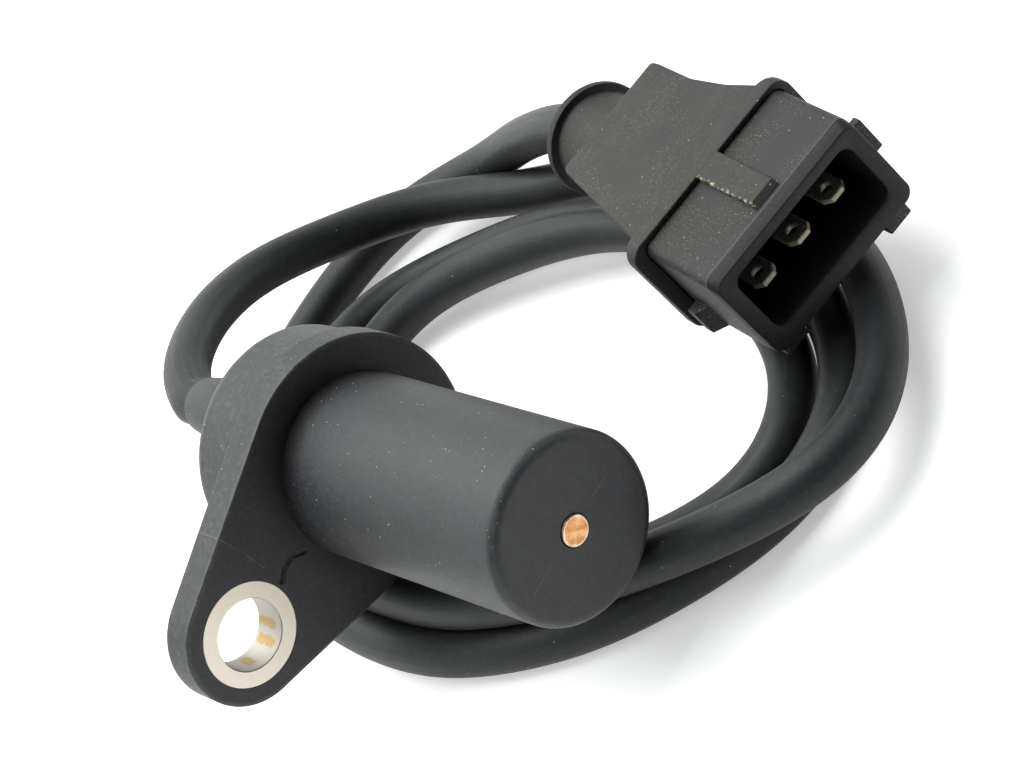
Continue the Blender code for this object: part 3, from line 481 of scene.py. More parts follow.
def pin_material():
    """Copper coloured plating in two tones, paler in patches round its edge: partly wear, partly a painted
    highlight.
    """
    mat, tree = new_material("iron_copper_plated", {"Roughness": 0.36, "Metallic": 1.0})
    coords = add(tree, "TexCoord", output="Object")
    # pale edge ring: partly worn plating, partly a painted highlight of the rim
    edge = add(tree, "MapRange", [from_axis(tree, coords), (PIN_R - 0.32) * MM, (PIN_R - 0.16) * MM])
    layers = [
        (blotches(tree, coords, 0.9, 3.0, 0.6, (0.4, 0.6)), 1.0, "#cfa274"),
        (edge, blotches(tree, coords, 0.6, cut=(0.4, 0.6, 0.3, 0.9)), "#d5ccb8"),
    ]
    skin = relief(tree, [(blotches(tree, coords, 0.25), 0.01, 0.5)])
    return finished(mat, painted(tree, "#b57a4c", layers), skin)


def tab_material():
    """Matt tin in two tones, with the brass showing where the wear mark is."""
    mat, tree = new_material("brass_tinned", {"Roughness": 0.55, "Metallic": 0.6})
    coords = add(tree, "TexCoord", output="Object")
    rubbed = add(tree, "Attribute", output="Fac", attribute_name="wear")
    cloud = blotches(tree, coords, 0.6, 4.0, 0.6, (0.35, 0.65))
    tones = painted(tree, "#cfccc2", [(cloud, 1.0, "#ebe8df"), (rubbed, 0.65, "#8a7345")])
    return finished(mat, tones, relief(tree, [(blotches(tree, coords, 0.3), 0.01, 0.5)]))


# %% [markdown]
# Each finish is made once. The hood, the inner body and the sleeve share one recipe: the hood is the
# browner plastic, the inner body is the blackest and holds the most soil, and the rubber is the palest.

# %% All the finishes of the outside
NYLON = nylon_material()
JACKET = jacket_material()
HOOD_PLASTIC = connector_material("polyamide_hood", "#1e1d1c", "#282624", 0.5)
SHROUD_PLASTIC = connector_material("polyamide_inner_body", "#191919", "#201f1f", 0.9)
SLEEVE_RUBBER = connector_material("rubber_sleeve", "#222120", "#2a2826", 0.4)
BUSH_STEEL = bush_material()
PIN_PLATE = pin_material()
TAB_TIN = tab_material()
print("materials", len(bpy.data.materials))

# %% [markdown]
# ## The cable
# One jacketed cable, 4.8 mm thick, leaves the collar behind the head, goes three times round in a
# loose coil, and ends in the connector's rubber sleeve. Each strand shows in the photograph, so each
# got its points one by one: where a strand lies on the ground its axis is 2.4 mm up, and where it
# crosses another one it rises. The last strand goes up to the connector.

# %% The cable's points, in millimetres from the seat plane
LOW = -16.6
LEAD_OUT = [
    (-19.0, -1.6, 7.4), (-21.6, -1.1, 7.3), (-25.4, 1.4, 6.5), (-32.0, 6.8, 3.7), (-38.0, 14.2, -0.6),
    (-40.8, 21.6, -5.6), (-39.6, 28.4, -10.0), (-36.6, 34.1, -13.1), (-33.6, 36.3, -14.2), (-30.2, 38.0, -15.3),
    (-25.4, 39.9, -16.5),
]
FIRST_TURN = [
    (-18.0, 42.9, LOW), (-9.0, 45.4, LOW), (2.0, 46.8, LOW), (12.4, 45.4, LOW), (21.6, 42.2, -16.4),
    (29.0, 39.0, -15.2), (35.2, 34.8, -14.6), (40.2, 29.6, -14.3), (44.0, 23.2, -12.9), (45.0, 18.0, -11.7),
    (42.6, 13.0, -11.0), (37.8, 8.4, -11.0), (33.0, 4.9, -11.2), (26.2, 0.8, -11.7), (18.5, -3.3, -11.9),
    (10.5, -6.1, -12.5), (3.3, -7.2, -13.6), (-3.5, -7.4, -13.7), (-9.5, -7.5, -13.6), (-15.0, -7.0, -12.9),
    (-19.4, -4.4, -11.3), (-23.4, -0.2, -11.5), (-27.0, 4.6, -14.0), (-30.6, 9.6, -15.9),
]
SECOND_TURN = [
    (-32.8, 14.8, -16.4), (-32.0, 20.2, -15.9), (-28.2, 25.0, -14.9), (-21.4, 29.4, -14.2), (-12.0, 34.1, -13.6),
    (-3.6, 36.7, -13.5), (6.6, 37.0, -13.9), (15.6, 34.3, -15.2), (22.6, 31.0, -16.4), (28.0, 27.2, LOW),
    (31.6, 21.8, LOW), (32.2, 15.6, LOW), (28.8, 10.2, LOW), (24.0, 6.0, LOW), (18.2, 2.2, LOW), (12.0, -0.8, LOW),
    (5.0, -2.7, LOW), (-4.0, -3.5, LOW), (-14.0, -3.4, LOW), (-23.8, -2.1, LOW), (-32.4, 2.6, LOW),
]
THIRD_TURN = [
    (-38.2, 9.2, LOW), (-39.6, 16.8, LOW), (-37.0, 23.2, LOW), (-31.4, 28.2, LOW), (-24.6, 32.9, LOW),
    (-16.0, 37.5, LOW), (-6.0, 40.4, LOW), (4.0, 41.2, LOW), (14.0, 39.8, LOW), (22.4, 36.6, LOW),
    (29.2, 32.8, LOW), (34.7, 27.8, -16.6), (37.6, 21.4, -16.5), (36.8, 14.0, -16.4), (33.0, 7.6, -16.4),
    (28.0, 2.2, -16.5), (22.4, -2.7, LOW), (14.6, -7.2, LOW), (5.0, -10.7, LOW), (-5.0, -11.4, LOW),
]
LEAD_IN = [
    (-15.0, -10.4, LOW), (-25.0, -7.2, LOW), (-34.6, -2.6, LOW), (-42.2, 4.4, LOW), (-45.8, 12.6, LOW),
    (-46.2, 20.6, LOW), (-45.6, 27.8, LOW), (-43.6, 33.2, LOW), (-40.0, 38.0, LOW), (-34.4, 42.0, -16.4),
    (-26.6, 43.6, -12.9), (-19.6, 43.3, -9.5), (-12.8, 43.0, -6.6), (-7.0, 42.8, -4.9),
]
CABLE_ROUTE = LEAD_OUT + FIRST_TURN + SECOND_TURN + THIRD_TURN + LEAD_IN
COLLAR_Y = -1.6
COLLAR_Z = 7.4
CABLE_R = 2.4
SLEEVE_FLOOR = -36.6
SLEEVE_R = -0.95
STUB = 2.0
OVERLAP = 0.1
SPLINE_STEP = 1.0
SOFT_STEPS = 4.0

# %% [markdown]
# The connector's own parts are drawn along its own axes: p towards the mouth, r across to the far side
# and q up, from the middle of the rim of its mouth. It lies level, turned a little clockwise.

# %% Places of the head and of the connector
PLUG = SEAT + np.array([34.7, 34.9, -4.55])
PLUG_HEADING = math.radians(-11.65)


def from_seat(points):
    """Points measured from the seat plane, moved into the frame."""
    return np.asarray(points, dtype=float) + SEAT


def from_plug(points):
    """Points (p, r, q) of the connector, turned by its heading and moved into the frame."""
    points = np.asarray(points, dtype=float)
    c, s = math.cos(PLUG_HEADING), math.sin(PLUG_HEADING)
    p, r, q = points[..., 0], points[..., 1], points[..., 2]
    return np.stack([c * p - s * r, s * p + c * r, q], axis=-1) + PLUG


# %% [markdown]
# A natural cubic spline goes through the chosen points, because a cable bends as a thin rod does and
# its curvature changes steadily. A running mean then takes out the small kinks that the listed points leave.

# %% Centreline of the cable
def spline_through(points, step):
    """Natural cubic spline: second derivatives from one linear system, then a cubic between knots."""
    knots = np.array(points, dtype=float)
    gaps = np.linalg.norm(np.diff(knots, axis=0), axis=1)
    along = np.concatenate([[0.0], np.cumsum(gaps)])
    count = len(knots)
    inner = np.arange(1, count - 1)
    system = np.eye(count)
    system[inner, inner - 1] = gaps[:-1]
    system[inner, inner] = 2.0 * (gaps[:-1] + gaps[1:])
    system[inner, inner + 1] = gaps[1:]
    slopes = np.diff(knots, axis=0) / gaps[:, None]
    right = np.zeros((count, 3))
    right[1:-1] = 6.0 * np.diff(slopes, axis=0)
    bend = np.linalg.solve(system, right)
    t = np.linspace(0.0, along[-1], int(along[-1] / step) + 1)
    i = np.clip(np.searchsorted(along, t) - 1, 0, count - 2)
    h = gaps[i][:, None]
    u = (along[i + 1] - t)[:, None]
    v = (t - along[i])[:, None]
    cubic = (bend[i] * u**3 + bend[i + 1] * v**3) / (6.0 * h)
    return cubic + (knots[i] / h - bend[i] * h / 6.0) * u + (knots[i + 1] / h - bend[i + 1] * h / 6.0) * v


def relaxed(curve, width):
    """Running mean with a bell weight; the curve is continued past both ends by its mirror image."""
    reach = int(3.5 * width)
    weight = np.exp(-0.5 * (np.arange(-reach, reach + 1) / width) ** 2)
    weight /= weight.sum()
    before = 2.0 * curve[0] - curve[1 : reach + 1][::-1]
    after = 2.0 * curve[-1] - curve[-reach - 1 : -1][::-1]
    longer = np.vstack([before, curve, after])
    return np.stack([np.convolve(longer[:, k], weight, "valid") for k in range(3)], axis=1)


def cable_line():
    """Straight stub out of the collar, the spline, and a straight stub into the sleeve."""
    last = from_plug((SLEEVE_FLOOR - STUB, SLEEVE_R, 0.0)) - SEAT
    curve = relaxed(spline_through(CABLE_ROUTE + [tuple(last)], SPLINE_STEP), SOFT_STEPS)
    curve[:, 2] = np.maximum(curve[:, 2], LOW)
    start = np.array([[COLLAR_BACK + OVERLAP, COLLAR_Y, COLLAR_Z]])
    stub = np.linspace(start[0], curve[0], 4)[:-1]
    end = from_plug((SLEEVE_FLOOR + OVERLAP, SLEEVE_R, 0.0)) - SEAT
    return from_seat(np.vstack([stub, curve, [end]]))


line = cable_line()
steps = np.linalg.norm(np.diff(line, axis=0), axis=1)

# %% [markdown]
# The jacket is a circle carried along that line. The cable never points straight up, so its sideways
# direction is always the level one. Each point also keeps where it is along and round the cable, which
# the jacket's material reads to draw its streaks lengthwise.

# %% Cable
STREAK_SQUEEZE = 0.03


def tube_grid(centres, radius, around):
    """Ring points: centre + radius (cos a side + sin a up), side = ahead x Z, up = side x ahead."""
    ahead = np.gradient(centres, axis=0)
    ahead /= np.linalg.norm(ahead, axis=1)[:, None]
    side = np.cross(ahead, (0.0, 0.0, 1.0))
    side /= np.linalg.norm(side, axis=1)[:, None]
    up = np.cross(side, ahead)
    a = full_turn(around)[None, :, None]
    return centres[:, None] + radius * (np.cos(a) * side[:, None] + np.sin(a) * up[:, None])


def make_cable(around=40):
    """Closed tube with a ring about every millimetre; streak holds (squeezed length, cos, sin)."""
    caps = [np.repeat(line[k][None, None], around, axis=1) for k in (0, -1)]
    grid = np.concatenate([caps[0], tube_grid(line, CABLE_R, around), caps[1]])
    along = np.concatenate([[0.0, 0.0], np.cumsum(steps), [steps.sum()]]) * STREAK_SQUEEZE
    length = np.repeat(along[:, None], around, axis=1)
    a = np.broadcast_to(full_turn(around), length.shape)
    streak = np.stack([length, CABLE_R * np.cos(a), CABLE_R * np.sin(a)], axis=-1) * MM
    return mesh_from_grid("cable_jacket", grid, JACKET, marks={"streak": streak})


cable = make_cable()

# %% [markdown]
# ## The head
# The head is one moulding: a barrel that reaches into a bore, a plate with an ear that is screwed
# down, a boss that holds the wiring, and a collar for the cable. The barrel and the boss are turned
# shapes. Every moulded edge has a small radius, because it catches the light, and the edges carry a
# mark that draws them lighter: wear on the barrel's tip, and behind the plate a stronger mark that is a
# painted highlight on the boss's back edge.

# %% Barrel, boss and collar
PLATE_T = 3.65
BARREL_R = ROOT_R
TIP_ROUND = 1.15
WELL_BACK = TIP - 0.6
WELL_R = PIN_R + 0.06
PLATE_MIDDLE = -1.6
BOSS_R = 12.2
BOSS_BACK_R = 11.85
BOSS_ROUND = 0.4
COLLAR_R = 3.5
COLLAR_TIP_R = 2.8
COLLAR_ROUND = 0.2
CABLE_HOLE_R = CABLE_R + 0.1
# Behind the plate the edge mark is turned up into a painted highlight on the boss's back edge.
BOSS_EDGE_HIGHLIGHT = 1.9
WEAR_AHEAD = 0.5


def turned_with_wear(profile, edges, around, centre=(0.0, 0.0), width=0.35):
    """Turned grid and its wear: 1 at the listed (x, r) edges, falling to 0 at a distance of width."""
    gap = np.linalg.norm(np.array(profile)[:, None] - np.array(edges)[None], axis=2).min(axis=1)
    wear = np.clip(1.0 - gap / width, 0.0, 1.0)
    return turned_grid(profile, around, centre), np.repeat(wear[:, None], around, axis=1)


barrel_profile = [(WELL_BACK, 0.0), (WELL_BACK, WELL_R), (TIP - 0.06, WELL_R), (TIP, WELL_R + 0.06)]
barrel_profile += [(TIP, r) for r in np.linspace(2.5, BARREL_R - TIP_ROUND, 6)]
barrel_profile += [(TIP - TIP_ROUND * a, BARREL_R - TIP_ROUND * b) for a, b in quarter(9)]
barrel_profile += [(x, BARREL_R) for x in np.linspace(TIP - 2.0, 1.5, 12)]
barrel_profile += [(0.5, BARREL_R), (-0.3, BARREL_R), (PLATE_MIDDLE, BARREL_R), (PLATE_MIDDLE, BOSS_R)]
barrel_profile += [(-PLATE_T, BOSS_R), (-PLATE_T - 0.5, BOSS_R - 0.03)]
barrel_profile += [(BOSS_BACK + 1.5, BOSS_BACK_R + 0.05), (BOSS_BACK + 0.8, BOSS_BACK_R)]
barrel_profile += [(BOSS_BACK + BOSS_ROUND * b, BOSS_BACK_R - BOSS_ROUND * a) for a, b in quarter(6)]
barrel_profile += [(BOSS_BACK, r) for r in (10.0, 7.0, 3.0, 0.0)]
barrel_edges = [(TIP - 0.26, BARREL_R - 0.26)]
barrel_edges += [(BOSS_BACK + 0.12, BOSS_BACK_R - 0.12), (BOSS_BACK + BOSS_ROUND, BOSS_BACK_R)]
barrel, barrel_wear_and_highlight = turned_with_wear(barrel_profile, barrel_edges, 144)
barrel_wear_and_highlight *= np.where(barrel[..., 0] < 0, BOSS_EDGE_HIGHLIGHT, WEAR_AHEAD)

collar_profile = [(BOSS_BACK + 1.0, 0.0), (BOSS_BACK + 1.0, COLLAR_R), (BOSS_BACK - 1.0, COLLAR_R)]
collar_profile += [(COLLAR_BACK + COLLAR_ROUND * b, COLLAR_TIP_R - COLLAR_ROUND * a) for a, b in quarter(6)]
collar_profile += [(COLLAR_BACK + inwards, CABLE_HOLE_R) for inwards in (0.0, 0.4)] + [(COLLAR_BACK + 0.4, 0.0)]
collar_edges = [(COLLAR_BACK + 0.06, COLLAR_TIP_R - 0.06)]
collar, collar_wear = turned_with_wear(collar_profile, collar_edges, 64, (COLLAR_Y, COLLAR_Z))

# %% [markdown]
# The plate's outline is what a string round the hub and the ear would draw. Seen from the middle of
# the ear, the distance to that string is the least, over all directions n, of (support of n) / cos
# of the angle to n.

# %% Plate, and the three shells of the head
EAR_R = 7.0
EDGE_ROUND = 0.2
BUSH_GAP = 0.01


def plate_reach(angles):
    """Distance from the ear's centre to the plate's outline; an angle is measured from +Y."""
    normals = np.linspace(-np.pi, np.pi, 2160, endpoint=False)
    support = np.maximum(EAR_R, HUB_R - EAR_Y * np.cos(normals))
    facing = np.cos(angles[:, None] - normals[None])
    ratio = np.where(facing > 0.05, support / np.maximum(facing, 0.05), np.inf)
    return ratio.min(axis=1)


def plate_grid(around=288):
    """Closed loop of rows: hole wall, front face, outer edge, side, back edge, back face."""
    angles = full_turn(around)
    outline = plate_reach(angles)
    hole = np.full(around, BUSH_R + BUSH_GAP)
    soft = EDGE_ROUND
    rows = [(0.0, hole, 0.0), (0.0, hole + 0.5, 0.0)]
    rows += [(0.0, outline * share + hole * (1.0 - share), 0.0) for share in (0.3, 0.6)]
    rows += [(0.0, outline - soft - 0.35, 0.0)]
    rows += [(-soft * a, outline - soft * b, 0.7) for a, b in quarter()]
    rows += [(-soft - 0.3, outline, 0.0), (-PLATE_T + 0.6, outline, 0.0)]
    rows += [(-PLATE_T + soft * a, outline - soft * b, 0.1) for a, b in quarter()[::-1]]
    rows += [(-PLATE_T, hole + 0.5, 0.0), (-PLATE_T, hole, 0.0)]
    x, reach, wear = level_rows(rows, around)
    return np.stack([x, EAR_Y + reach * np.cos(angles), reach * np.sin(angles)], axis=-1), wear


plate, plate_wear = plate_grid()
head_shells = [
    mesh_from_grid("barrel_and_boss", from_seat(barrel), NYLON, marks={"wear": barrel_wear_and_highlight}),
    mesh_from_grid("cable_collar", from_seat(collar), NYLON, marks={"wear": collar_wear}),
    mesh_from_grid("plate_with_ear", from_seat(plate), NYLON, True, {"wear": plate_wear}),
]

# %% [markdown]
# The bush is turned from tube and pressed into the ear, with a small chamfer at every edge. The pole
# pin's end stands a little proud of the barrel.

# %% Bush and pole pin
BUSH_BORE_R = 3.55
BORE_CHAMFER = 0.08
RIM_CHAMFER = 0.05
PIN_ROUND = 0.15
PIN_BACK = pin_low[0] - SEAT_X
bush_profile = [(0.0, r) for r in np.linspace(BUSH_BORE_R + BORE_CHAMFER, BUSH_R - RIM_CHAMFER, 5)]
bush_profile += [(-RIM_CHAMFER, BUSH_R), (BUSH_BACK + RIM_CHAMFER, BUSH_R)]
bush_profile += [(BUSH_BACK, BUSH_R - RIM_CHAMFER), (BUSH_BACK, BUSH_BORE_R + BORE_CHAMFER)]
bush_profile += [(x, BUSH_BORE_R) for x in np.linspace(BUSH_BACK + BORE_CHAMFER, -BORE_CHAMFER, 6)]
bush = mesh_from_grid("turned_bush", from_seat(turned_grid(bush_profile, 128, (EAR_Y, 0.0))), BUSH_STEEL, True)

pin_profile = [(PIN_END, r) for r in (0.0, 0.5, 1.0, PIN_R - PIN_ROUND)]
pin_profile += [(PIN_END - PIN_ROUND * a, PIN_R - PIN_ROUND * b) for a, b in quarter(6)]
pin_profile += [(PIN_BACK, PIN_R), (PIN_BACK, 0.0)]
pin = mesh_from_grid("turned_pole_pin", from_seat(turned_grid(pin_profile, 64)), PIN_PLATE)

# %% [markdown]
# ## The connector
# The hood and the inner body are boxes with soft corners whose size changes along their length, as a
# moulded housing has draft and steps. One row is a rounded rectangle. Its columns keep their places in
# every row: each has a sign for the middle of its corner and a direction that points outwards.

# %% Rows of rounded rectangles
CORNER_SIGNS = np.array([(1.0, 1.0), (-1.0, 1.0), (-1.0, -1.0), (1.0, -1.0)])


def section_columns(arc_points=9, straight_points=5):
    """Signs of the arc centres and outward directions of the columns, corner by corner."""
    k = np.arange(4)[:, None]
    turn = np.radians(90.0 * k + np.linspace(0.0, 90.0, arc_points)[None])
    arc_signs = np.repeat(CORNER_SIGNS[:, None], arc_points, axis=1)
    share = np.linspace(0.0, 1.0, straight_points + 2)[1:-1][None, :, None]
    after = np.roll(CORNER_SIGNS, -1, axis=0)[:, None]
    straight_signs = CORNER_SIGNS[:, None] * (1.0 - share) + after * share
    straight_turn = np.radians(90.0 * k + 90.0) * np.ones((1, straight_points))
    signs = np.concatenate([arc_signs, straight_signs], axis=1).reshape(-1, 2)
    turn = np.concatenate([turn, straight_turn], axis=1).ravel()
    return signs, np.stack([np.cos(turn), np.sin(turn)], axis=1)


SIGNS, OUTWARDS = section_columns()


def loft(rows):
    """Grid of rows (p, left, right, low, high, radius): centre + sign * (half - radius) + radius * outwards."""
    p, left, right, low, high, radius = np.array(rows, dtype=float).T
    half_r, half_q = (right - left) / 2, (high - low) / 2
    radius = np.clip(radius, 0.0, np.minimum(half_r, half_q))
    r = ((left + right) / 2)[:, None] + (half_r - radius)[:, None] * SIGNS[:, 0] + radius[:, None] * OUTWARDS[:, 0]
    q = ((low + high) / 2)[:, None] + (half_q - radius)[:, None] * SIGNS[:, 1] + radius[:, None] * OUTWARDS[:, 1]
    return np.stack([np.repeat(p[:, None], len(SIGNS), axis=1), r, q], axis=-1)


def inset(row, depth):
    """The same row, smaller by depth on every side."""
    p, left, right, low, high, radius = row
    return (p, left + depth, right - depth, low + depth, high - depth, max(radius - depth, 0.05))


def eased(row, soft, towards, steps=5):
    """Rows that round the edge between an end face at row's p and its side, which lies towards +1 or -1."""
    out = []
    for a, b in quarter(steps):
        p, *rest = inset(row, soft * b)
        out.append((p + towards * soft * a, *rest))
    return out


def closing(row):
    """Row shrunk to the middle of its rectangle, which closes a flat end."""
    p, left, right, low, high, _ = row
    r, q = (left + right) / 2, (low + high) / 2
    return (p, r, r, q, q, 0.0)


def block(low, high, soft):
    """Rounded block between two corners (p, r, q)."""
    back = (low[0], low[1], high[1], low[2], high[2], soft)
    front = (high[0], low[1], high[1], low[2], high[2], soft)
    rows = [closing(back)] + eased(back, soft, 1, 4) + eased(front, soft, -1, 4)[::-1] + [closing(front)]
    return loft(rows)


# %% [markdown]
# The hood is seen from above as a flare: straight on the near side, while the far side runs level and
# then opens in two slants. Its front ends in a rounded lip. It is a shell, so the loop of rows goes
# over the outside, into the mouth, along the inside and out again through the neck hole.

# %% Hood
HOOD_REAR = -29.7
HOOD_FRONT = -11.65
HOOD_HALF_H = 6.14
HOOD_WALL = 1.0
HOOD_NEAR = 6.95
HOOD_NEAR_SLOPE = 0.165
HOOD_BENDS = ((0.0, 7.0, 12.0, 16.15, 18.05), (6.8, 6.85, 7.75, 9.0, 9.9))
LIP_T = 1.9
LIP_LEFT = -11.5
LIP_RIGHT = 10.9
LIP_ROUND = 1.8
LIP_SOFT = 0.5
NECK_HOLE_R = 3.1
SOCKET_W = 10.05
SOCKET_H = 5.6
SOCKET_BACK = -12.9


def hood_row(p, depth=0.0, radius=0.6):
    """One row of the hood, smaller by depth: left edge straight, right edge level and then in two slants."""
    run = p - HOOD_REAR
    left = -(HOOD_NEAR + HOOD_NEAR_SLOPE * run)
    right = np.interp(run, HOOD_BENDS[0], HOOD_BENDS[1])
    return (p, left + depth, right - depth, depth - HOOD_HALF_H, HOOD_HALF_H - depth, radius)


def hood_rows():
    """Closed loop of rows over the outside, the mouth and the inside."""
    lip_back = HOOD_FRONT - LIP_T
    neck = (HOOD_REAR, SLEEVE_R - NECK_HOLE_R, SLEEVE_R + NECK_HOLE_R, -NECK_HOLE_R, NECK_HOLE_R, NECK_HOLE_R)
    rows = [neck] + eased(hood_row(HOOD_REAR), 0.3, 1)
    rows += [hood_row(p, radius=0.35) for p in np.linspace(HOOD_REAR + 1.0, lip_back - 0.01, 22)]
    lip = (LIP_LEFT, LIP_RIGHT, -HOOD_HALF_H, HOOD_HALF_H, LIP_ROUND)
    for a, b in quarter():
        rows.append((lip_back + LIP_SOFT * a, lip[0] + LIP_SOFT * b, lip[1] - LIP_SOFT * b) + lip[2:])
    rows += eased((HOOD_FRONT,) + lip, 0.2, -1)[::-1]
    socket = (HOOD_FRONT, -SOCKET_W, SOCKET_W, -SOCKET_H, SOCKET_H, 1.1)
    rows += [socket, (SOCKET_BACK,) + socket[1:]]
    rows += [hood_row(p, HOOD_WALL, 0.4) for p in (SOCKET_BACK, -16.0, -19.0, -22.0, HOOD_REAR + HOOD_WALL)]
    rows += [(HOOD_REAR + HOOD_WALL,) + neck[1:]]
    return rows


hood = mesh_from_grid("hood_shell", from_plug(loft(hood_rows())), HOOD_PLASTIC, True)

# %% [markdown]
# A tongue reaches forward from the top of the hood over the inner body, and drops down a short ramp at
# its end. Crumbs of dirt lie along its near edge.

# %% Tongue
TONGUE_HALF_W = 1.57
TONGUE_END = -1.9
TONGUE_LOW = 5.52
TONGUE_RAMP = 0.6


def tongue_rows():
    """Rows from the lip to the tip of the tongue, which slopes down over its last part."""
    top = HOOD_HALF_H - 0.01
    body = (HOOD_FRONT - 1.5, -TONGUE_HALF_W, TONGUE_HALF_W, TONGUE_LOW, top, 0.12)
    front = (TONGUE_END - TONGUE_RAMP,) + body[1:]
    ramp = (TONGUE_END, -TONGUE_HALF_W, TONGUE_HALF_W, TONGUE_LOW, TONGUE_LOW + 0.04, 0.02)
    return [closing(body), body, front, ramp, closing(ramp)]


tongue_grid = loft(tongue_rows())
tongue_marks = {"crumbs": tongue_grid[..., 1] < -TONGUE_HALF_W + 0.2}
tongue = mesh_from_grid("hood_tongue", from_plug(tongue_grid), HOOD_PLASTIC, marks=tongue_marks)

# %% [markdown]
# The inner body carries the mouth. Its rim is one long slope, steeper at the top than at the sides.
# Ribs stand on its sides, which key it to the socket that it plugs into.

# %% Inner body
BODY_W = 9.9
BODY_H = 5.5
BODY_BACK = -12.6
TAIL_W = 6.2
TAIL_H = 4.4
TAIL_BACK = -16.6
RIM_T = 1.47
RIM_W = 9.8
RIM_LOW = -5.8
RIM_HIGH = 5.13
MOUTH_W = 8.07
MOUTH_H = 3.8
MOUTH_FLOOR = -10.5


def mixed(body, rim, p):
    """Row at p on the straight slope from the end of the body to the edge of the rim."""
    share = (p + RIM_T) / RIM_T
    return (p,) + tuple(a * (1.0 - share) + b * share for a, b in zip(body[1:], rim[1:]))


def body_rows():
    """Rows from the tail, over the body and the sloping rim, into the mouth and to its floor."""
    tail = (TAIL_BACK, -TAIL_W, TAIL_W, -TAIL_H, TAIL_H, 0.5)
    body = (BODY_BACK, -BODY_W, BODY_W, -BODY_H, BODY_H, 1.0)
    rim = (0.0, -RIM_W, RIM_W, RIM_LOW, RIM_HIGH, 1.3)
    mouth = (0.0, -MOUTH_W, MOUTH_W, -MOUTH_H, MOUTH_H, 1.2)
    rows = [closing(tail)] + eased(tail, 0.3, 1) + [(BODY_BACK,) + tail[1:]]
    rows += eased(body, 0.3, 1) + [(p,) + body[1:] for p in (-9.0, -6.0, -3.0, -RIM_T - 0.1, -RIM_T)]
    rows += [mixed(body, rim, p) for p in (-RIM_T + 0.1, -0.35)]
    rows += eased(rim, 0.22, -1)[::-1]
    rows += [inset(mouth, -0.25), (-0.12,) + inset(mouth, -0.07)[1:], (-0.35,) + mouth[1:]]
    rows += [(-5.0,) + mouth[1:], (MOUTH_FLOOR + 0.3,) + mouth[1:], (MOUTH_FLOOR,) + inset(mouth, 0.3)[1:]]
    rows += [closing((MOUTH_FLOOR,) + mouth[1:])]
    return rows


body_grid = loft(body_rows())
rim_start = int(np.argmax(body_grid[:, 0, 0] >= -RIM_T - 0.001))
body_marks = {
    # rim drawn darker, and painted shade inside the mouth
    "dark_rim_and_hollow_shade": np.repeat(np.arange(len(body_grid))[:, None] >= rim_start, body_grid.shape[1], axis=1),
    # the rim's first row carries a painted highlight
    "rim_start_highlight": np.abs(body_grid[..., 0] + RIM_T) < 0.001,
}
shroud = mesh_from_grid("inner_body", from_plug(body_grid), SHROUD_PLASTIC, marks=body_marks)

# %% [markdown]
# The ribs are blocks with soft edges, given by two corners (p, r, q). The one on the near side is a
# wedge: it stands out from the body and slopes back to it towards the mouth.

# %% Ribs
WEDGE = (-10.4, -BODY_W - 1.34, -BODY_W + 0.5, -4.95, -1.8, 0.12)
WEDGE_FRONT = -9.1
WEDGE_FOOT = -8.0
RIBS = {
    "side_rib": ((-2.7, BODY_W - 0.5, -0.7), (-1.6, BODY_W + 1.05, 3.2), 0.15),
    "key_rib_far": ((-9.0, 5.5, -7.1), (-0.25, 8.4, -5.0), 0.2),
    "key_rib_near": ((-9.0, -9.15, -6.7), (-0.25, -6.25, -5.0), 0.2),
}
wedge_foot = (WEDGE_FOOT, -BODY_W) + WEDGE[2:]
wedge_rows = [closing(WEDGE)] + eased(WEDGE, 0.12, 1) + [(WEDGE_FRONT,) + WEDGE[1:], wedge_foot, closing(wedge_foot)]
ribs = [mesh_from_grid("side_wedge", from_plug(loft(wedge_rows)), SHROUD_PLASTIC)]
ribs += [mesh_from_grid(name, from_plug(block(*corners)), SHROUD_PLASTIC) for name, corners in RIBS.items()]

# %% [markdown]
# The tabs are stamped from strip: flat, with a pointed tip and a small hole. From the middle of the
# hole, the outline is as far as the nearest of its straight sides, and each row of the grid is a
# mix of the hole and that outline.

# %% Terminal tabs
TAB_HALF_W = 1.4
TAB_HALF_T = 0.3
TAB_TIP = -2.8
TAB_POINT = 0.9
TAB_END = -17.8
TAB_Q = -1.2
TAB_HOLE_R = 0.65
TAB_HOLE_BACK = 1.9
TAB_PITCH = 5.0
TAB_SOFT = 0.1


def tab_reach(angles):
    """Distance from the hole to the outline: least of offset / cos over the sides of the strip."""
    slope = math.atan2(0.45 * TAB_HALF_W, TAB_POINT)
    shoulder = TAB_HOLE_BACK - TAB_POINT
    normals = np.array([0.0, math.pi / 2 - slope, slope - math.pi / 2, math.pi / 2, -math.pi / 2, math.pi])
    slant = shoulder * math.cos(normals[1]) + TAB_HALF_W * math.sin(normals[1])
    offsets = np.array([TAB_HOLE_BACK, slant, slant, TAB_HALF_W, TAB_HALF_W, TAB_TIP - TAB_HOLE_BACK - TAB_END])
    facing = np.cos(angles[:, None] - normals[None])
    return np.where(facing > 0.01, offsets / np.maximum(facing, 0.01), np.inf).min(axis=1)


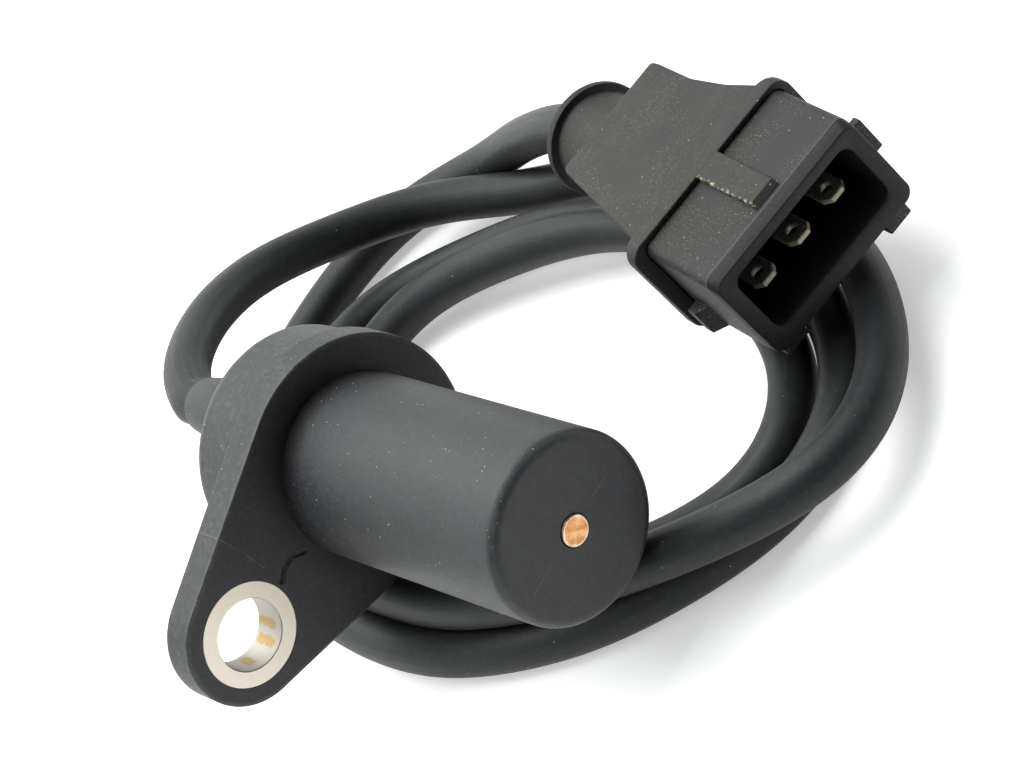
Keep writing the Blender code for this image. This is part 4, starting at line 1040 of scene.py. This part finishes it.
def tab_grid(side, around=240):
    """Closed loop of rows: hole wall, top, edge, and the same again downwards and back to the hole."""
    angles = full_turn(around)
    outline = tab_reach(angles)
    hole = np.full(around, TAB_HOLE_R)
    upper = [(TAB_HALF_T - 0.06, hole, 0.5), (TAB_HALF_T, hole + 0.08, 0.2)]
    upper += [(TAB_HALF_T, outline - TAB_SOFT, 0.0), (TAB_HALF_T - TAB_SOFT, outline, 1.0)]
    lower = [(-height, reach, wear) for height, reach, wear in upper[::-1]]
    upper.insert(2, (TAB_HALF_T, outline * 0.9, 0.0))
    q, reach, wear = level_rows(upper + lower, around)
    p = TAB_TIP - TAB_HOLE_BACK + reach * np.cos(angles)
    return np.stack([p, side * TAB_PITCH + reach * np.sin(angles), TAB_Q + q], axis=-1), wear


tabs = []
for side in (-1, 0, 1):
    grid, wear = tab_grid(side)
    tabs.append(mesh_from_grid("stamped_tab", from_plug(grid), TAB_TIN, True, {"wear": wear}))

# %% [markdown]
# The sleeve is moulded rubber. A neck goes through the rear wall of the hood, and the far end flares
# into a thin rim; the rim is drawn darker, and the cup inside it gets painted shade.

# %% Sleeve
SLEEVE_FRONT = -27.6
SLEEVE_SHOULDER = -29.8
SLEEVE_FLARE = -36.5
SLEEVE_END = -37.8
SLEEVE_BORE_R = 1.95
SLEEVE_NECK_R = 3.0
SLEEVE_BODY_R = 5.0
SLEEVE_RIM_R = 5.8
SLEEVE_CUP_R = 4.6
SLEEVE_WEAR = 0.6
sleeve_profile = [(SLEEVE_FRONT, SLEEVE_BORE_R), (SLEEVE_FRONT, SLEEVE_NECK_R), (SLEEVE_SHOULDER, SLEEVE_NECK_R)]
sleeve_profile += [(SLEEVE_SHOULDER, SLEEVE_BODY_R), (-33.0, SLEEVE_BODY_R - 0.02), (-36.45, SLEEVE_BODY_R)]
sleeve_profile += [(-36.6, 5.06), (-36.7, 5.2), (-36.72, SLEEVE_RIM_R - 0.15), (-36.78, SLEEVE_RIM_R - 0.03)]
sleeve_profile += [(-36.9, SLEEVE_RIM_R), (-37.5, SLEEVE_RIM_R), (-37.7, SLEEVE_RIM_R - 0.06)]
sleeve_profile += [(SLEEVE_END, SLEEVE_RIM_R - 0.25), (SLEEVE_END, 5.0), (-37.7, 4.7), (-37.4, SLEEVE_CUP_R)]
sleeve_profile += [(SLEEVE_FLOOR, SLEEVE_CUP_R), (SLEEVE_FLOOR, SLEEVE_BORE_R)]
sleeve_edges = [(-36.75, SLEEVE_RIM_R), (SLEEVE_END, 5.3)]
sleeve_grid, sleeve_wear = turned_with_wear(sleeve_profile, sleeve_edges, 96, (SLEEVE_R, 0.0))
# The rim is drawn darker, and the cup inside it gets painted shade.
sleeve_marks = {"wear": sleeve_wear * SLEEVE_WEAR, "dark_rim_and_hollow_shade": sleeve_grid[..., 0] < SLEEVE_FLARE}
sleeve = mesh_from_grid("rubber_sleeve", from_plug(sleeve_grid), SLEEVE_RUBBER, True, sleeve_marks)

# %% [markdown]
# ## What stays of the frame
# The pieces inside are the frame's own solids with a finish: bobbin, winding, magnet, yoke, splices
# and wires. None of them shows, so two tones and a fine bump are enough.

# %% Finishes inside
TINNED = ["terminal_post_a", "terminal_post_b", "splice_a", "splice_b"]
CORES = ["head_core_a", "head_core_b", "plug_core_a", "plug_core_b", "plug_core_c"]
INNER_FINISHES = [
    (["magnet"], "ferrite_magnet", "#3a3a3d", "#4c4c50", 0.5, 1.0, 0.4),
    (["back_yoke"], "soft_iron", "#6a6864", "#82807a", 0.5, 1.0, 0.5),
    (["coil_bobbin"], "polybutylene_bobbin", "#2b2b2e", "#38383b", 0.5, 0.0, 0.6),
    (["coil_winding"], "enamelled_copper", "#8a4a20", "#b5652f", 0.35, 1.0, 0.3),
    (TINNED, "brass_tinned_inside", "#9a9486", "#bdb7a8", 0.35, 1.0, 0.5),
    (CORES, "pvc_core_insulation", "#6d6a66", "#827f7a", 0.5, 0.0, 0.8),
]


def plain_material(name, dark, light, roughness, metallic, cell_mm):
    """Two tones of one stuff with a fine bump, for the pieces inside."""
    mat, tree = new_material(name, {"Roughness": roughness, "Metallic": metallic})
    cloud = blotches(tree, add(tree, "TexCoord", output="Object"), cell_mm, 4.0, 0.6)
    tones = painted(tree, dark, [(add(tree, "MapRange", [cloud, 0.35, 0.65]), 1.0, light)])
    return finished(mat, tones, relief(tree, [(cloud, 0.01, 0.5)]))


for nodes, *stuff in INNER_FINISHES:
    inside = plain_material(*stuff)
    for node in nodes:
        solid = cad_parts[node]
        solid.data.materials.clear()
        solid.data.materials.append(inside)
print("finishes inside:", len(INNER_FINISHES))

# %% [markdown]
# ## Which piece stands for which solid
# Every skin rides on the one body and replaces its solid, which is hidden.

# %% Hand over to the frame
STANDS_FOR = [
    (head_shells, "sensor_housing", "head_nylon"),
    ([bush], "mounting_bush", "bush_steel"),
    ([pin], "pole_pin", "pin_plate"),
    ([cable], "cable", "cable_jacket"),
    ([hood, tongue], "connector_hood", "hood_plastic"),
    ([shroud] + ribs, "connector_shroud", "shroud_plastic"),
    ([sleeve], "cable_grommet", "grommet_rubber"),
]
STANDS_FOR += [([tab], "terminal_tab_" + letter, "terminal_tin") for tab, letter in zip(tabs, "abc")]
for skins, node, finish in STANDS_FOR:
    for skin in skins:
        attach(skin, "root")
    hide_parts(node)

on_the_plug = [hood, tongue, shroud, sleeve] + ribs + tabs
on_the_plug += [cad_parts["plug_core_" + letter] for letter in "abc"]

# %% [markdown]
# ## The set
# The photograph is cut out on white, and the light comes from above and behind. The floor is a sheet of
# opal acrylic with a little light from below, as on a table for product pictures, so the contact shadow
# stays faint. A light tent, white behind and dark in front, and one large soft lamp do the rest.

# %% Floor, sky and lamp
FLOOR_Z = -19.0
FLOOR_SIZE = 6.0
LAMP_TOWARDS = (-0.35, 0.0, 1.0)
LAMP_DISTANCE = 0.8
LAMP_SIZE = 0.7
LAMP_WATTS = 7.5
TENT_TOWARDS = (-0.85, -0.08, 0.5)
TENT_EDGE = (-0.1, 0.95)
TENT_STRENGTH = (0.02, 2.3)


def make_floor():
    """Square pale floor just under the lowest strands."""
    half = FLOOR_SIZE / 2
    corners = [(-half, -half, 0.0), (half, -half, 0.0), (half, half, 0.0), (-half, half, 0.0)]
    mesh = bpy.data.meshes.new("floor")
    mesh.from_pydata(corners, [], [(0, 1, 2, 3)])
    obj = bpy.data.objects.new("floor", mesh)
    obj.location = (0.0, 0.0, FLOOR_Z * MM)
    bpy.context.scene.collection.objects.link(obj)
    values = {"Roughness": 0.8, "Base Color": linear("#dcdcdc"), "Emission Color": linear("#ffffff")}
    mat, _ = new_material("opal_acrylic_lit_from_below", {**values, "Emission Strength": 0.42})
    mesh.materials.append(mat)


def make_lamp():
    """Square area lamp in a direction from the middle of the object, facing it."""
    data = bpy.data.lights.new("overhead_lamp", "AREA")
    data.shape = "SQUARE"
    data.size = LAMP_SIZE
    data.energy = LAMP_WATTS
    lamp = bpy.data.objects.new("overhead_lamp", data)
    place = Vector(LAMP_TOWARDS).normalized() * LAMP_DISTANCE
    lamp.location = place
    lamp.rotation_euler = (-place).to_track_quat("-Z", "Y").to_euler()
    bpy.context.scene.collection.objects.link(lamp)


def make_sky():
    """White sky whose strength grows with the cosine of the angle to the tent's direction."""
    world = bpy.data.worlds.new("light_tent")
    world.use_nodes = True
    tree = world.node_tree
    background = tree.nodes["Background"].inputs
    ray = add(tree, "TexCoord", output="Generated")
    facing = add(tree, "VectorMath DOT_PRODUCT", [ray, Vector(TENT_TOWARDS).normalized()], "Value")
    tree.links.new(add(tree, "MapRange", [facing, *TENT_EDGE, *TENT_STRENGTH]), background["Strength"])
    background["Color"].default_value = linear("#fafffd")
    bpy.context.scene.world = world


make_floor()
make_lamp()
make_sky()
bpy.context.scene.view_settings.view_transform = "Standard"
print("set ready: floor", FLOOR_SIZE, "m wide, lamp", LAMP_WATTS, "W")
